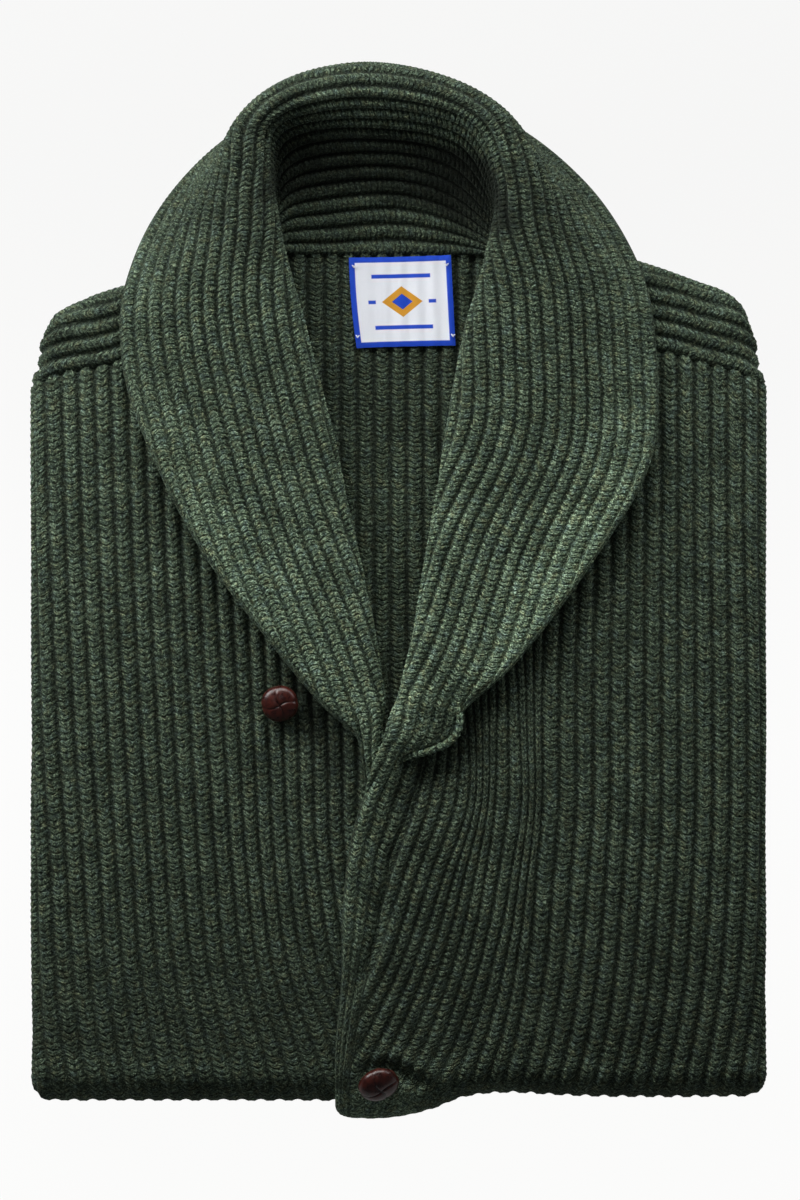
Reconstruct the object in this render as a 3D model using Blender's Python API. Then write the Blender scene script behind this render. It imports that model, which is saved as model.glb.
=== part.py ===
"""Shawl collar cardigan in chunky ribbed wool, folded and lying on its back.

Every cloth piece is a wall of real thickness. Its ribs are raised in the outer points over a plain
inside. Lengths are in millimetres until a mesh is built, and metres after that.

+Z is up, +Y points to the neck and +X to the wearer's left, because the cardigan lies face up.
The origin is on the surface it lies on, under the middle of the folded shape.
"""
import math

import bmesh
import bpy
import numpy as np
from mathutils import Euler, Vector

MM = 0.001

# ---- driving dimensions --------------------------------------------------------------------------
HALF_WIDTH = 201.0        # valleys at the side folds; the folded width is 405 mm over the ribs
WALL = 2.2                # cloth under the ribs
RELIEF = 1.7              # height of a rib over the valley beside it
SEAM_GAP = 0.8            # between two pieces at a seam
LAY_GAP = 0.5             # between two pieces that lie on each other
FLOOR_GAP = 0.3           # lowest rib of a wrapped piece over the surface

EDGE_TOP = 34.6           # height of the fronts' valleys at the side folds
CROWN = 3.4               # how much higher the middle of the stack is
SIDE_ROLL = 9.0           # radius of the fold at the sides and shoulders
WRAP_ANGLE = math.radians(150)

FRONT_BOTTOM = 279.4      # wearer's right front, from the origin to the lower fold
COLLAR_PITCH = 8.0        # from rib to rib on the collar
BACK_PITCH = 9.1
YOKE_PITCH = 8.6
YOKE_TAPER = 4.5          # how much narrower the shoulders are than the body, on each side
YOKE_WRAP = math.radians(122)

LAP_STEP = WALL + RELIEF + LAY_GAP    # one layer of cloth over another


def columns(header, rows):
    """Turn a short table into named columns."""
    return dict(zip(header.split(), np.array(rows, dtype=float).T))


# Ribs of the wearer's right front, by distance from the middle: where the rib at the side fold is,
# the pitch of the outer ribs and the tighter pitch of those near the opening.
RIBS_RIGHT = columns("y first pitch_side pitch_mid", [
    (-285, -179.0, 10.3, 10.2),
    (-246, -185.5, 9.95, 9.35),
    (-213, -188.5, 9.45, 8.5),
    (-147, -192.0, 9.1, 7.8),
    (-81, -196.5, 9.15, 8.1),
    (18, -201.0, 9.1, 8.25),
    (120, -204.0, 9.1, 8.25)])
TURN_RIGHT = 11           # number of ribs at the side pitch

# The same for the wearer's left front, where rib LAST_LEFT is the one at the side fold.
RIBS_LEFT = columns("y last pitch_side pitch_mid", [
    (-285, 174.0, 10.1, 9.7),
    (-246, 182.0, 9.9, 8.5),
    (-213, 186.5, 9.6, 7.4),
    (-147, 191.0, 9.5, 7.7),
    (-81, 191.0, 9.3, 7.9),
    (18, 190.0, 9.1, 8.0),
    (120, 190.0, 9.1, 8.0)])
LAST_LEFT = 25
TURN_LEFT = 13

# Inner edges of the fronts. Down to the lap they follow the collar seam, and below it the free edge.
EDGE_RIGHT = columns("y x", [
    (-290, -2), (-120, -2), (-83, -4), (-60, -12.5), (-16, -23.5), (34, -37.5), (92, -54), (150, -75)])
EDGE_LEFT = columns("y x", [
    (-290, -35), (-246, -34.5), (-213, -31.5), (-180, -31), (-147, -28), (-114, -20), (-97, -13),
    (-83, -8), (-53, 6), (-12, 15.5), (39, 28), (92, 40.5), (150, 58.5)])
# Where the ribs of the front end against the two ribs of its band.
BAND_LEFT = columns("y x", [
    (-290, -29), (-273, -29.5), (-246, -25.5), (-213, -18.5), (-180, -14.5), (-147, -6), (-114, -1.5),
    (-87, 3), (-53, 16), (39, 40), (150, 70)])
BAND_RIBS = 2

# Lower fold of the wearer's left front, which bulges where it passes over the other front.
BOTTOM_LEFT = columns("x y", [
    (-36, 281), (-33.5, 286), (-29.5, 288.5), (-23, 289.3), (0, 288.5), (12, 286), (23, 282.5), (31, 279),
    (45, 276), (60, 275), (90, 276.5), (240, 276.5)])

# Seam between each front and its yoke, and the shoulder line above it, from the side to the neck.
SEAM_RIGHT = columns("x y", [
    (-240, 108), (-202, 115), (-186, 121), (-164, 125), (-150, 129), (-75, 147)])
SHOULDER_RIGHT = columns("x y", [
    (-240, 128), (-206, 138), (-198, 146), (-190, 152), (-175, 160), (-160, 165.5), (-150, 168.5),
    (-75, 182)])
SEAM_LEFT = columns("x y", [
    (58, 150), (141, 134), (155, 131), (166, 127.5), (188, 121.5), (202, 115), (240, 106)])
SHOULDER_LEFT = columns("x y", [
    (58, 187), (129, 183), (144, 178), (166, 170), (177, 166), (185, 161), (189, 157), (198, 146),
    (208, 134), (240, 118)])

# The back, whose inside shows in the opening: its two sides and its height, down from the neck seam.
BACK = columns("y left right height", [
    (-112, -20, 4, 33.5), (-59, -27, 11, 30.5), (-4, -38, 23, 27.5), (51, -49, 35, 25.5),
    (106, -63, 48, 24.2), (144, -72, 56, 23.5), (185, -74, 58, 23)])

# The collar, a row for each section from the wearer's right lapel round the neck to the left one.
# seam = sewn edge, roll = innermost line, edge = free edge. Heights are over the fronts' valleys.
# crest_in = from the roll to the highest line. plateau and flare shape the fall between the crest
# and the edge, which it reaches at edge_deg. first = ribs that have run out at the edge by there.
COLLAR = columns(
    "seam_x seam_y seam_up roll_x roll_y crest_up crest_in edge_x edge_y edge_up edge_deg "
    "plateau flare first", [
        (-15, -73.5, 2.7, -9.6, -71.5, 11.5, 5, -22.5, -79.7, 4.6, -10, 4, 4, 7.8),
        (-14.2, -56.5, 2.7, -8.6, -54.5, 12.0, 5.5, -43, -60, 9.0, 6, 10, 9, 6.0),
        (-24.5, -12.5, 2.7, -16, -10.5, 13.0, 6, -71, -25, 13.0, 16, 20, 16, 4.2),
        (-38.5, 37.5, 2.7, -27, 40, 14.5, 6.5, -106, 22, 15.0, 20, 30, 30, 2.2),
        (-54, 93.5, 2.7, -39.5, 97, 16.5, 7, -134, 75, 14.0, 16, 38, 34, 0.8),
        (-67.5, 142, 2.7, -54, 153, 19, 8, -151.5, 125.5, 8.0, -2, 44, 32, 0),
        (-74.5, 176, 2.0, -63.5, 188.5, 23, 9, -150.5, 170, 3.8, -18, 36, 24, 0),
        (-73, 183, -3, -69.5, 227, 28, 9, -128.5, 218.5, -21, -25, 26, 18, 0),
        (-59.5, 185.8, -10.5, -63.5, 254.5, 32, 14, -84, 258, -30.5, -82, 16, 26, 0),
        (-14.5, 185.8, -11.6, -18.5, 258, 34, 21, -18.5, 284, -30.5, -95, 18, 30, 0),
        (31, 186, -10.5, 35, 253.5, 32, 14, 52, 264, -30.5, -82, 16, 26, 0),
        (55, 184.5, -5, 54, 221.5, 28, 9, 102.5, 228.5, -20, -25, 26, 18, 0),
        (58.6, 178, 2.2, 49, 186, 23, 9, 133.5, 178, 4.2, -18, 36, 24, 0),
        (53, 142, 2.7, 37.5, 144.5, 19.5, 8, 141.5, 128, 8.0, -2, 44, 32, 0),
        (40.3, 91, 2.7, 28, 92.5, 18, 7, 137, 72, 14.0, 16, 38, 34, 0.4),
        (27, 33.5, 2.7, 18.5, 34.5, 17, 6.5, 106.5, 19, 15.0, 20, 30, 30, 1.2),
        (14.6, -21.5, 2.7, 9, -20.5, 15.5, 6.5, 66, -35, 13.0, 16, 20, 18, 4.0),
        (6.8, -54.5, 2.7, 1.5, -53.5, 14, 6, 38, -61.5, 10.0, 8, 12, 10, 5.7),
        (-4, -86, 2.7, -9.5, -86.5, 12.0, 6, 23.5, -83.5, 6.5, 0, 10, 8, 5.6)])
COLLAR_RIBS = 22
COLLAR_MIDDLE = 9         # row of the table that is the centre back
COLLAR_STEPS = (2, 4, 3, 2, 2, 1, 2, 3, 3, 3, 3, 2, 1, 2, 2, 3, 4, 3)  # sections from each row to the next

# Edge of the hidden stack by height: how far it stays in from the outline beside a side fold or a
# shoulder, at a lower corner, and along the lower fold, where the fronts wrap it.
STACK = columns("z side corner bottom", [
    (0, 5.0, 14, 26), (1.2, 2.2, 12, 24), (3.8, 0.9, 11, 22), (6.0, 2.0, 11, 20), (7.0, 4.6, 11, 17.5),
    (8.2, 1.4, 11, 14.5), (11.6, 0.9, 9, 9.5), (14.0, 8.5, 8, 7.2), (19, 9.8, 6, 4.9),
    (23, 6.6, 5, 4.4), (27, 5.4, 6, 6.2), (31, 9.8, 11.0, 11.0)])
STACK_SHRINK = (0.9, 0.8, 0.69, 0.58, 0.46, 0.34, 0.22, 0.1)

BUTTONS = {               # place of the middle of its back, and tilt about X, Y and Z in degrees
    "button_top": ((-65.2, -60.0, 41.2), (12, 0, 0)),
    "button_low": ((-12.0, -266.5, 49.1), (44, 22, 0)),
}
# Turned outline of a button, from its shank to the top of its dome.
BUTTON_OUTLINE = columns("radius height", [
    (0, -1.6), (2.4, -1.6), (2.6, 0.2), (8.2, 0.4), (9.7, 2.2), (10.0, 4.0), (9.2, 6.0), (6.8, 7.8),
    (3.6, 8.7), (0, 9.0)])

LABEL_SIZE = (57.5, 50.0, 0.7)
LABEL_PLACE = (2.0, 159.4, 26.1)
LABEL_TURN = 1.5          # degrees


# ---- curves and surfaces -------------------------------------------------------------------------
def ease(t):
    """Smooth step from 0 to 1."""
    t = np.clip(t, 0.0, 1.0)
    return t * t * (3.0 - 2.0 * t)


def curve(t, knots, values):
    """Cubic curve through a table's points, level with the chord of each point's neighbours."""
    t = np.clip(t, knots[0], knots[-1])
    slopes = np.gradient(values, knots)
    i = np.clip(np.searchsorted(knots, t, side="right") - 1, 0, len(knots) - 2)
    span = knots[i + 1] - knots[i]
    f = (t - knots[i]) / span
    start = values[i] * (1 + 2 * f) * (1 - f) ** 2 + slopes[i] * span * f * (1 - f) ** 2
    end = values[i + 1] * f ** 2 * (3 - 2 * f) + slopes[i + 1] * span * f ** 2 * (f - 1)
    return start + end


def front_top(x, y):
    """Height of the fronts' valleys over the surface, without the lap."""
    across = 1.0 - np.clip(np.abs(x) / HALF_WIDTH, 0, 1) ** 2
    along = 0.35 + 0.65 * ease((150.0 - y) / 200.0)
    return EDGE_TOP + CROWN * across * along


def lap(x, y):
    """How much the wearer's left front is lifted by the layer under it."""
    return LAP_STEP * (1 - ease((x - 2) / 42)) * (1 - ease((y + 60) / 80))


def ribs_front_right(rib, y):
    """x of a valley of the wearer's right front."""
    first, side, mid = (curve(y, RIBS_RIGHT["y"], RIBS_RIGHT[k]) for k in ("first", "pitch_side", "pitch_mid"))
    return first + side * np.minimum(rib, TURN_RIGHT) + mid * np.maximum(rib - TURN_RIGHT, 0)


def ribs_front_left(rib, y):
    """x of a valley of the wearer's left front."""
    last, side, mid = (curve(y, RIBS_LEFT["y"], RIBS_LEFT[k]) for k in ("last", "pitch_side", "pitch_mid"))
    return last - side * np.minimum(LAST_LEFT - rib, LAST_LEFT - TURN_LEFT) - mid * np.maximum(TURN_LEFT - rib, 0)


def spread(places, low, high, gap):
    """Hold rising places between two limits and at least a small gap apart."""
    k = np.arange(places.shape[-1])
    places = np.maximum(places, low + gap * k)
    return np.minimum(places, high - gap * (places.shape[-1] - 1 - k))


def crowd(places, start, end):
    """Keep places up to a start, and squeeze those beyond it so that the last is at the end."""
    beyond = np.maximum(places - start, 0.0)
    room = beyond[-1] / (end - start)
    return np.minimum(places, start) + beyond / (1 + (room - 1) * beyond / beyond[-1])


def wrapped(u, v, side, top, half_width, end, roll_end):
    """Point of a front or yoke, whose cloth turns down at its side fold and at its far end.

    u goes across and v along, both flat from the middle. side is -1 or +1.
    """
    out = np.maximum(0.0, side * u - (half_width - SIDE_ROLL)) / SIDE_ROLL
    down = np.maximum(0.0, v - (end - roll_end)) / roll_end
    angle = (out ** 6 + down ** 6) ** (1 / 6)
    length = np.maximum(np.hypot(out, down), 1e-9)
    to_side, to_end = out / length, down / length
    roll = SIDE_ROLL * to_side ** 2 + roll_end * to_end ** 2
    x = side * (np.minimum(side * u, half_width - SIDE_ROLL) + roll * np.sin(angle) * to_side)
    y = np.minimum(v, end - roll_end) + roll * np.sin(angle) * to_end
    return np.stack([x, y, top - roll * (1 - np.cos(angle))], axis=-1)


def front_right_point(u, v):
    top = front_top(u, v)
    under = LAP_STEP * ease((u + 48) / 11)
    roll = (top - FLOOR_GAP - RELIEF - under) / 2
    return wrapped(u, -v, -1, top, HALF_WIDTH, FRONT_BOTTOM, roll) * (1, -1, 1)


def front_left_point(u, v):
    top = front_top(u, v) + lap(u, v)
    roll = (top - FLOOR_GAP - RELIEF) / 2
    return wrapped(u, -v, 1, top, HALF_WIDTH, curve(u, BOTTOM_LEFT["x"], BOTTOM_LEFT["y"]), roll) * (1, -1, 1)


def yoke_shape(u, w, seam, shoulder):
    """Seam, half width, shoulder line and radius of its roll, for a point of a yoke."""
    start = curve(u, seam["x"], seam["y"])
    end = curve(u, shoulder["x"], shoulder["y"])
    return start, HALF_WIDTH - YOKE_TAPER * ease(w / 16), end, np.minimum(SIDE_ROLL, 0.45 * (end - start))


def yoke_point(u, w, side, seam, shoulder):
    """Point of a yoke, w up from its seam. It turns down at the side and over the shoulder line."""
    start, half, end, roll = yoke_shape(u, w, seam, shoulder)
    return wrapped(u, start + w, side, front_top(u, np.minimum(start + w, end)), half, end, roll)


def back_point(u, v):
    return np.stack([u, v, curve(v, BACK["y"], BACK["height"])], axis=-1)


def bezier(a, b, c, d, t):
    t = t[:, None]
    return a * (1 - t) ** 3 + 3 * b * t * (1 - t) ** 2 + 3 * c * t * t * (1 - t) + d * t ** 3


def collar_section(row):
    """Outer face of the collar at one section, from its free edge to its seam.

    Also where the ribs start to crowd, which is under the roll, and how many have run out.
    """
    rows = np.arange(len(COLLAR["first"]), dtype=float)
    at = {name: float(curve(row, rows, values)) for name, values in COLLAR.items()}
    left = row > COLLAR_MIDDLE

    def place(name, up):
        x, y = at[name + "_x"], at[name + "_y"]
        z = front_top(x, y) + up + (lap(x, y) if left else 0.0)
        return np.array([x, y, float(z)])

    seam, roll, edge = place("seam", at["seam_up"]), place("roll", at["crest_up"]), place("edge", at["edge_up"])
    outward = (edge - roll)[:2] / np.hypot(*(edge - roll)[:2])
    crest = roll + np.append(outward * at["crest_in"], 0.0)
    turn = (8 * roll[:2] - seam[:2] - crest[:2]) / 6
    slope = math.radians(at["edge_deg"])
    arrive = np.append(outward * math.cos(slope), math.sin(slope))
    t = np.linspace(0, 1, 33)
    fall = bezier(edge, edge - arrive * at["flare"], crest + np.append(outward * at["plateau"], 0.0), crest, t)
    stand = bezier(crest, np.append(turn, crest[2]), np.append(turn, seam[2]), seam, t)
    _, fall_length = along(fall, np.zeros(1))
    _, stand_length = along(stand, np.zeros(1))
    return np.vstack([fall, stand[1:]]), fall_length + 0.35 * stand_length, at["first"]


def along(points, length):
    """Points at given lengths along a polyline."""
    steps = np.concatenate([[0.0], np.cumsum(np.linalg.norm(np.diff(points, axis=0), axis=1))])
    return np.stack([np.interp(length, steps, points[:, k]) for k in range(3)], axis=-1), steps[-1]


def normals(across, along_rib):
    n = np.cross(across, along_rib)
    return n / np.maximum(np.linalg.norm(n, axis=-1, keepdims=True), 1e-12)


def surface_normals(point, u, v):
    """Unit normals of a surface given as a function of two lengths."""
    h = 0.05
    return normals(point(u + h, v) - point(u - h, v), point(u, v + h) - point(u, v - h))


# ---- meshes --------------------------------------------------------------------------------------
def material(name, colour, roughness):
    """Plain finish of one material, with its colour as linear red, green and blue."""
    made = bpy.data.materials.new(name)
    made.use_nodes = True
    shader = made.node_tree.nodes["Principled BSDF"]
    shader.inputs["Base Color"].default_value = (*colour, 1)
    shader.inputs["Roughness"].default_value = roughness
    shader.inputs["Metallic"].default_value = 0.0
    return made


def add_object(name, bm, finish, smooth=True):
    mesh = bpy.data.meshes.new(name)
    bmesh.ops.recalc_face_normals(bm, faces=bm.faces)
    bm.to_mesh(mesh)
    bm.free()
    mesh.materials.append(finish)
    if smooth:
        mesh.shade_smooth()
        mesh.set_sharp_from_angle(angle=math.radians(50))
    obj = bpy.data.objects.new(name, mesh)
    bpy.context.scene.collection.objects.link(obj)
    return obj


def sheet(bm, points):
    """A grid whose points are put in place, as rows of vertices."""
    rows, cols = points.shape[:2]
    made = bmesh.ops.create_grid(bm, x_segments=cols - 1, y_segments=rows - 1, size=1.0)["verts"]
    grid = [[None] * cols for _ in range(rows)]
    for vert in made:
        j = round((vert.co.x + 1) / 2 * (cols - 1))
        i = round((vert.co.y + 1) / 2 * (rows - 1))
        grid[i][j] = vert
    for i in range(rows):
        for j in range(cols):
            grid[i][j].co = Vector(points[i, j] * MM)
    return grid


def cloth_wall(name, places, face, finish, strength=1.0):
    """A ribbed wall. places = rows of valleys, face(row, places) = outer points and normals there.

    The outer sheet has a valley and a rib for each place, and the plain inner one only the valleys.
    A rib that is squeezed where it ends at an edge is lower than the others.
    """
    outer, inner = [], []
    for i, row in enumerate(places):
        middles = (row[:-1] + row[1:]) / 2
        both = np.empty(2 * len(row) - 1)
        both[0::2], both[1::2] = row, middles
        points, normal = face(i, both)
        width = np.diff(row)
        height = np.zeros(len(both))
        height[1::2] = RELIEF * np.clip(width / (0.6 * np.median(width[width > 2])), 0, 1)
        soft = strength(i, middles) if callable(strength) else strength
        height[1::2] *= soft
        outer.append(points + normal * height[:, None])
        inner.append((points - normal * WALL)[0::2])
    outer, inner = np.array(outer), np.array(inner)
    bm = bmesh.new()
    top, under = sheet(bm, outer), sheet(bm, inner)
    for i in range(len(top) - 1):
        for j, k in ((0, 0), (-1, -1)):
            bm.faces.new((top[i][j], top[i + 1][j], under[i + 1][k], under[i][k]))
    for i in (0, -1):
        for k in range(len(under[0]) - 1):
            bm.faces.new((*top[i][2 * k:2 * k + 3], under[i][k + 1], under[i][k]))
    return add_object(name, bm, finish)


def front_rows(u, seam, bottom, roll, flat_rows, roll_rows):
    """Lengthwise places of a front's rows at each u: from its yoke seam down and round the fold."""
    start = curve(u, seam["x"], seam["y"]) - SEAM_GAP
    end = -(bottom - roll)
    flat = [start + (end - start) * k / flat_rows for k in range(flat_rows)]
    turned = [end - roll * WRAP_ANGLE * k / roll_rows for k in range(roll_rows + 1)]
    return flat + turned


def front(name, rib_numbers, ribs, point, seam, side, inner_edge, band, bottom_of, finish):
    """One front: a wall whose valleys follow the ribs, held between its side and its inner edge."""
    side_end = HALF_WIDTH - SIDE_ROLL + SIDE_ROLL * WRAP_ANGLE
    flat_rows, roll_rows = 10, 5
    rows_u, rows_v = [], []
    for i in range(flat_rows + roll_rows + 1):
        v = np.full(len(rib_numbers), 140.0 - 400.0 * i / flat_rows)
        for _ in range(3):
            y = np.maximum(v, -285.0)
            inner = curve(y, inner_edge["y"], inner_edge["x"])
            places = ribs(rib_numbers, y)
            if band is None:
                u = spread(places, -side_end, inner, 0.3)
            else:
                crease = curve(y, band["y"], band["x"])
                u = spread(places, crease, side_end, 0.3)
                step = (crease - inner) / BAND_RIBS
                for k in range(BAND_RIBS):
                    u[k] = (inner + step * k)[k]
            top = point(u, np.zeros_like(u))[:, 2]
            bottom, roll = bottom_of(u)
            v = front_rows(u, seam, bottom, roll, flat_rows, roll_rows)[i]
        rows_u.append(u)
        rows_v.append(v)

    def face(i, both):
        v = np.interp(both * side, rows_u[i] * side, rows_v[i]) if side > 0 else np.interp(both, rows_u[i], rows_v[i])
        return point(both, v), surface_normals(point, both, v)

    return cloth_wall(name, rows_u, face, finish)


def bottom_right(u):
    top = front_top(u, -240.0)
    return np.full_like(u, FRONT_BOTTOM), (top - FLOOR_GAP - RELIEF - LAP_STEP * ease((u + 48) / 11)) / 2


def bottom_left(u):
    top = front_top(u, -240.0) + lap(u, -240.0)
    return curve(u, BOTTOM_LEFT["x"], BOTTOM_LEFT["y"]), (top - FLOOR_GAP - RELIEF) / 2


def yoke(name, side, seam, shoulder, neck_x, finish):
    """A yoke: its ribs run across, and its rows go from the neck to the side fold."""
    side_end = HALF_WIDTH - YOKE_TAPER - SIDE_ROLL + SIDE_ROLL * YOKE_WRAP
    stations = side * np.linspace(neck_x, side_end, 17)
    places = []
    for u in stations:
        start, _, end, roll = yoke_shape(u, 0.0, seam, shoulder)
        places.append(spread(YOKE_PITCH * np.arange(8.0), 0.0, end - start - roll + roll * YOKE_WRAP, 0.3))

    def point(u, w):
        return yoke_point(u, w, side, seam, shoulder)

    def face(i, both):
        u = np.full_like(both, stations[i])
        return point(u, both), surface_normals(point, u, both)

    return cloth_wall(name, places, face, finish)


def back_panel(finish):
    """The back, inside out to the eye, from the neck seam down to where the fronts close over it."""
    rows = np.linspace(BACK["y"][-1] - SEAM_GAP, BACK["y"][0], 11)
    ribs = BACK_PITCH * (np.arange(17.0) - 8.5)
    places = [spread(ribs, curve(y, BACK["y"], BACK["left"]), curve(y, BACK["y"], BACK["right"]), 0.3) for y in rows]

    def face(i, both):
        v = np.full_like(both, rows[i])
        return back_point(both, v), surface_normals(back_point, both, v)

    return cloth_wall("back_panel", places, face, finish)


def collar(finish):
    """The shawl collar: sections from lapel to lapel, ribs counted from the free edge."""
    stations = [row + k / steps for row, steps in enumerate(COLLAR_STEPS) for k in range(steps)]
    stations.append(float(len(COLLAR_STEPS)))
    places, sections = [], []
    for row in stations:
        section, crowd_from, first = collar_section(row)
        _, length = along(section, np.zeros(1))
        gap = min(0.3, length / (8.0 * COLLAR_RIBS))
        valleys = (np.arange(COLLAR_RIBS + 1.0) - first) * COLLAR_PITCH
        places.append(spread(crowd(valleys, crowd_from, length), 0.0, length, gap))
        sections.append(section)

    def face(i, both):
        step = 0.04
        ends = [collar_section(np.clip(stations[i] + d, 0, len(COLLAR["first"]) - 1))[0] for d in (-step, step)]
        points, _ = along(sections[i], both)
        before, after = (along(section, both)[0] for section in ends)
        length = places[i][-1]
        more = along(sections[i], np.minimum(both + 0.4, length))[0]
        less = along(sections[i], np.maximum(both - 0.4, 0))[0]
        return points, normals(more - less, after - before)

    def strength(i, middles):
        return 0.35 + 0.65 * ease((middles - 10) / 22)

    return cloth_wall("shawl_collar", places, face, finish, strength)


def stack_top(x, y):
    """Height of the hidden stack: under the fronts, and lower under the back in the opening."""
    under_fronts = front_top(x, y) - WALL - LAY_GAP
    height = curve(y, BACK["y"], BACK["height"])
    under_back = np.minimum(height - WALL - LAY_GAP, under_fronts)
    middle = (curve(y, BACK["y"], BACK["left"]) + curve(y, BACK["y"], BACK["right"])) / 2
    half = (curve(y, BACK["y"], BACK["right"]) - curve(y, BACK["y"], BACK["left"])) / 2
    inside = 1 - ease((np.abs(x - middle) - half - 6) / 30)
    inside = inside * ease((y - BACK["y"][0] + 44) / 36)
    return under_fronts + (under_back - under_fronts - 0.7) * inside


def folded_layers(finish):
    """Sleeves, sides and lower body behind the fronts: one rounded stack, layered at its edge."""
    corner = 24.0
    low = -FRONT_BOTTOM + corner
    arc = np.linspace(0, math.pi / 2, 5)
    left_corner = [(-HALF_WIDTH + corner - corner * math.sin(a), low - corner * math.cos(a)) for a in arc]
    right_corner = [(HALF_WIDTH - corner + corner * math.cos(a), low + 3 - corner * math.sin(a)) for a in arc]
    right_xs = (-189, -180, -170, -157, -143, -127, -110, -92, -75)
    left_xs = (60, 78, 96, 114, 131, 148, 163, 176, 186.5)
    shoulder_right = [(x, float(curve(x, SHOULDER_RIGHT["x"], SHOULDER_RIGHT["y"])) - 0.4) for x in right_xs]
    shoulder_left = [(x, float(curve(x, SHOULDER_LEFT["x"], SHOULDER_LEFT["y"])) - 0.4) for x in left_xs]
    left_side = [(-HALF_WIDTH, y) for y in np.linspace(low + 30, 112, 7)] + [(2.2 - HALF_WIDTH, 126), (5.8 - HALF_WIDTH, 139)]
    right_side = [(HALF_WIDTH - 7.2, 141.5), (HALF_WIDTH - 2.9, 128)] + [(HALF_WIDTH, y) for y in np.linspace(112, low + 30, 7)]
    neck = [(-58, 183.2), (-38, 183.5), (-14, 183.5), (10, 183.8), (34, 184.2)]
    bottom = [(x, -min(FRONT_BOTTOM, float(curve(x, BOTTOM_LEFT["x"], BOTTOM_LEFT["y"])))) for x in
              (170, 140, 110, 90, 75, 60, 45, 30, 10)] + [(x, -FRONT_BOTTOM) for x in (-20, -60, -110, -160)]
    loop = np.array(left_corner + left_side + shoulder_right + neck + shoulder_left + right_side + right_corner
                    + bottom)
    ahead, behind = np.roll(loop, -1, axis=0), np.roll(loop, 1, axis=0)
    tangent = ahead - behind
    tangent /= np.linalg.norm(tangent, axis=1, keepdims=True)
    inward = np.stack([tangent[:, 1], -tangent[:, 0]], axis=-1)
    lowness = ease((inward[:, 1] - 0.25) / 0.6)
    rings = []
    insets = [side * (1 - lowness) ** 2 + 2 * at_corner * lowness * (1 - lowness) + low_in * lowness ** 2
              for side, at_corner, low_in in zip(STACK["side"], STACK["corner"], STACK["bottom"])]
    rim = loop + inward * insets[-1][:, None]
    squash = np.minimum(1.0, stack_top(rim[:, 0], rim[:, 1]) / (STACK["z"][-1] + 1.0))
    for z, inset in zip(STACK["z"], insets):
        rings.append(np.column_stack([loop + inward * inset[:, None], z * squash]))
    for shrink in STACK_SHRINK:
        ring = rim * shrink
        rings.append(np.column_stack([ring, stack_top(ring[:, 0], ring[:, 1])]))
    bm = bmesh.new()
    verts = [[bm.verts.new(Vector(p * MM)) for p in ring] for ring in rings]
    count = len(loop)
    for lower, upper in zip(verts, verts[1:]):
        for k in range(count):
            bm.faces.new((lower[k], lower[(k + 1) % count], upper[(k + 1) % count], upper[k]))
    bm.faces.new(verts[0])
    bm.faces.new(verts[-1])
    return add_object("folded_layers", bm, finish)


def button(name, finish):
    """A domed leather button on its shank, turned from its outline."""
    place, tilt = BUTTONS[name]
    bm = bmesh.new()
    outline = [bm.verts.new((r * MM, 0, h * MM)) for r, h in zip(BUTTON_OUTLINE["radius"], BUTTON_OUTLINE["height"])]
    edges = [bm.edges.new(pair) for pair in zip(outline, outline[1:])]
    bmesh.ops.spin(bm, geom=outline + edges, cent=(0, 0, 0), axis=(0, 0, 1), angle=math.tau, steps=20,
                   use_merge=True)
    bmesh.ops.remove_doubles(bm, verts=bm.verts, dist=1e-5)
    made = add_object(name, bm, finish)
    made.location = Vector(place) * MM
    made.rotation_euler = Euler([math.radians(a) for a in tilt])
    return made


def label(finish):
    """The woven label, a thin plate that lies on the ribs of the back."""
    bm = bmesh.new()
    bmesh.ops.create_cube(bm, size=1.0)
    bmesh.ops.scale(bm, vec=Vector(LABEL_SIZE) * MM, verts=bm.verts)
    made = add_object("label", bm, finish, smooth=False)
    made.location = Vector(LABEL_PLACE) * MM
    made.rotation_euler = Euler((0, 0, math.radians(LABEL_TURN)))
    return made


def build():
    for obj in list(bpy.data.objects):
        bpy.data.objects.remove(obj)
    knit = material("green_wool", (0.030, 0.042, 0.029), 0.95)
    inside = material("green_wool_inside", (0.020, 0.028, 0.020), 0.95)
    leather = material("brown_leather", (0.045, 0.012, 0.010), 0.4)
    woven = material("label_weave", (0.75, 0.78, 0.85), 0.8)

    folded_layers(knit)
    back_panel(inside)
    front("front_right", np.arange(-5.0, 24.0), ribs_front_right, front_right_point, SEAM_RIGHT, -1, EDGE_RIGHT,
          None, bottom_right, knit)
    front("front_left", np.arange(-1.0, 31.0), ribs_front_left, front_left_point, SEAM_LEFT, 1, EDGE_LEFT,
          BAND_LEFT, bottom_left, knit)
    yoke("yoke_right", -1, SEAM_RIGHT, SHOULDER_RIGHT, 78.0, knit)
    yoke("yoke_left", 1, SEAM_LEFT, SHOULDER_LEFT, 62.0, knit)
    collar(knit)
    for name in BUTTONS:
        button(name, leather)
    label(woven)


build()
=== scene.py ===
"""Shawl collar cardigan in chunky ribbed wool, folded and lying on its back: its knit and finishes.

Lengths are in millimetres until a mesh is made, and metres after that. +Z is up, +Y points to the
neck and +X to the wearer's left. Each knitted piece is a thin shell whose ribs follow the model's.
"""
import math
from functools import partial

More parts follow.
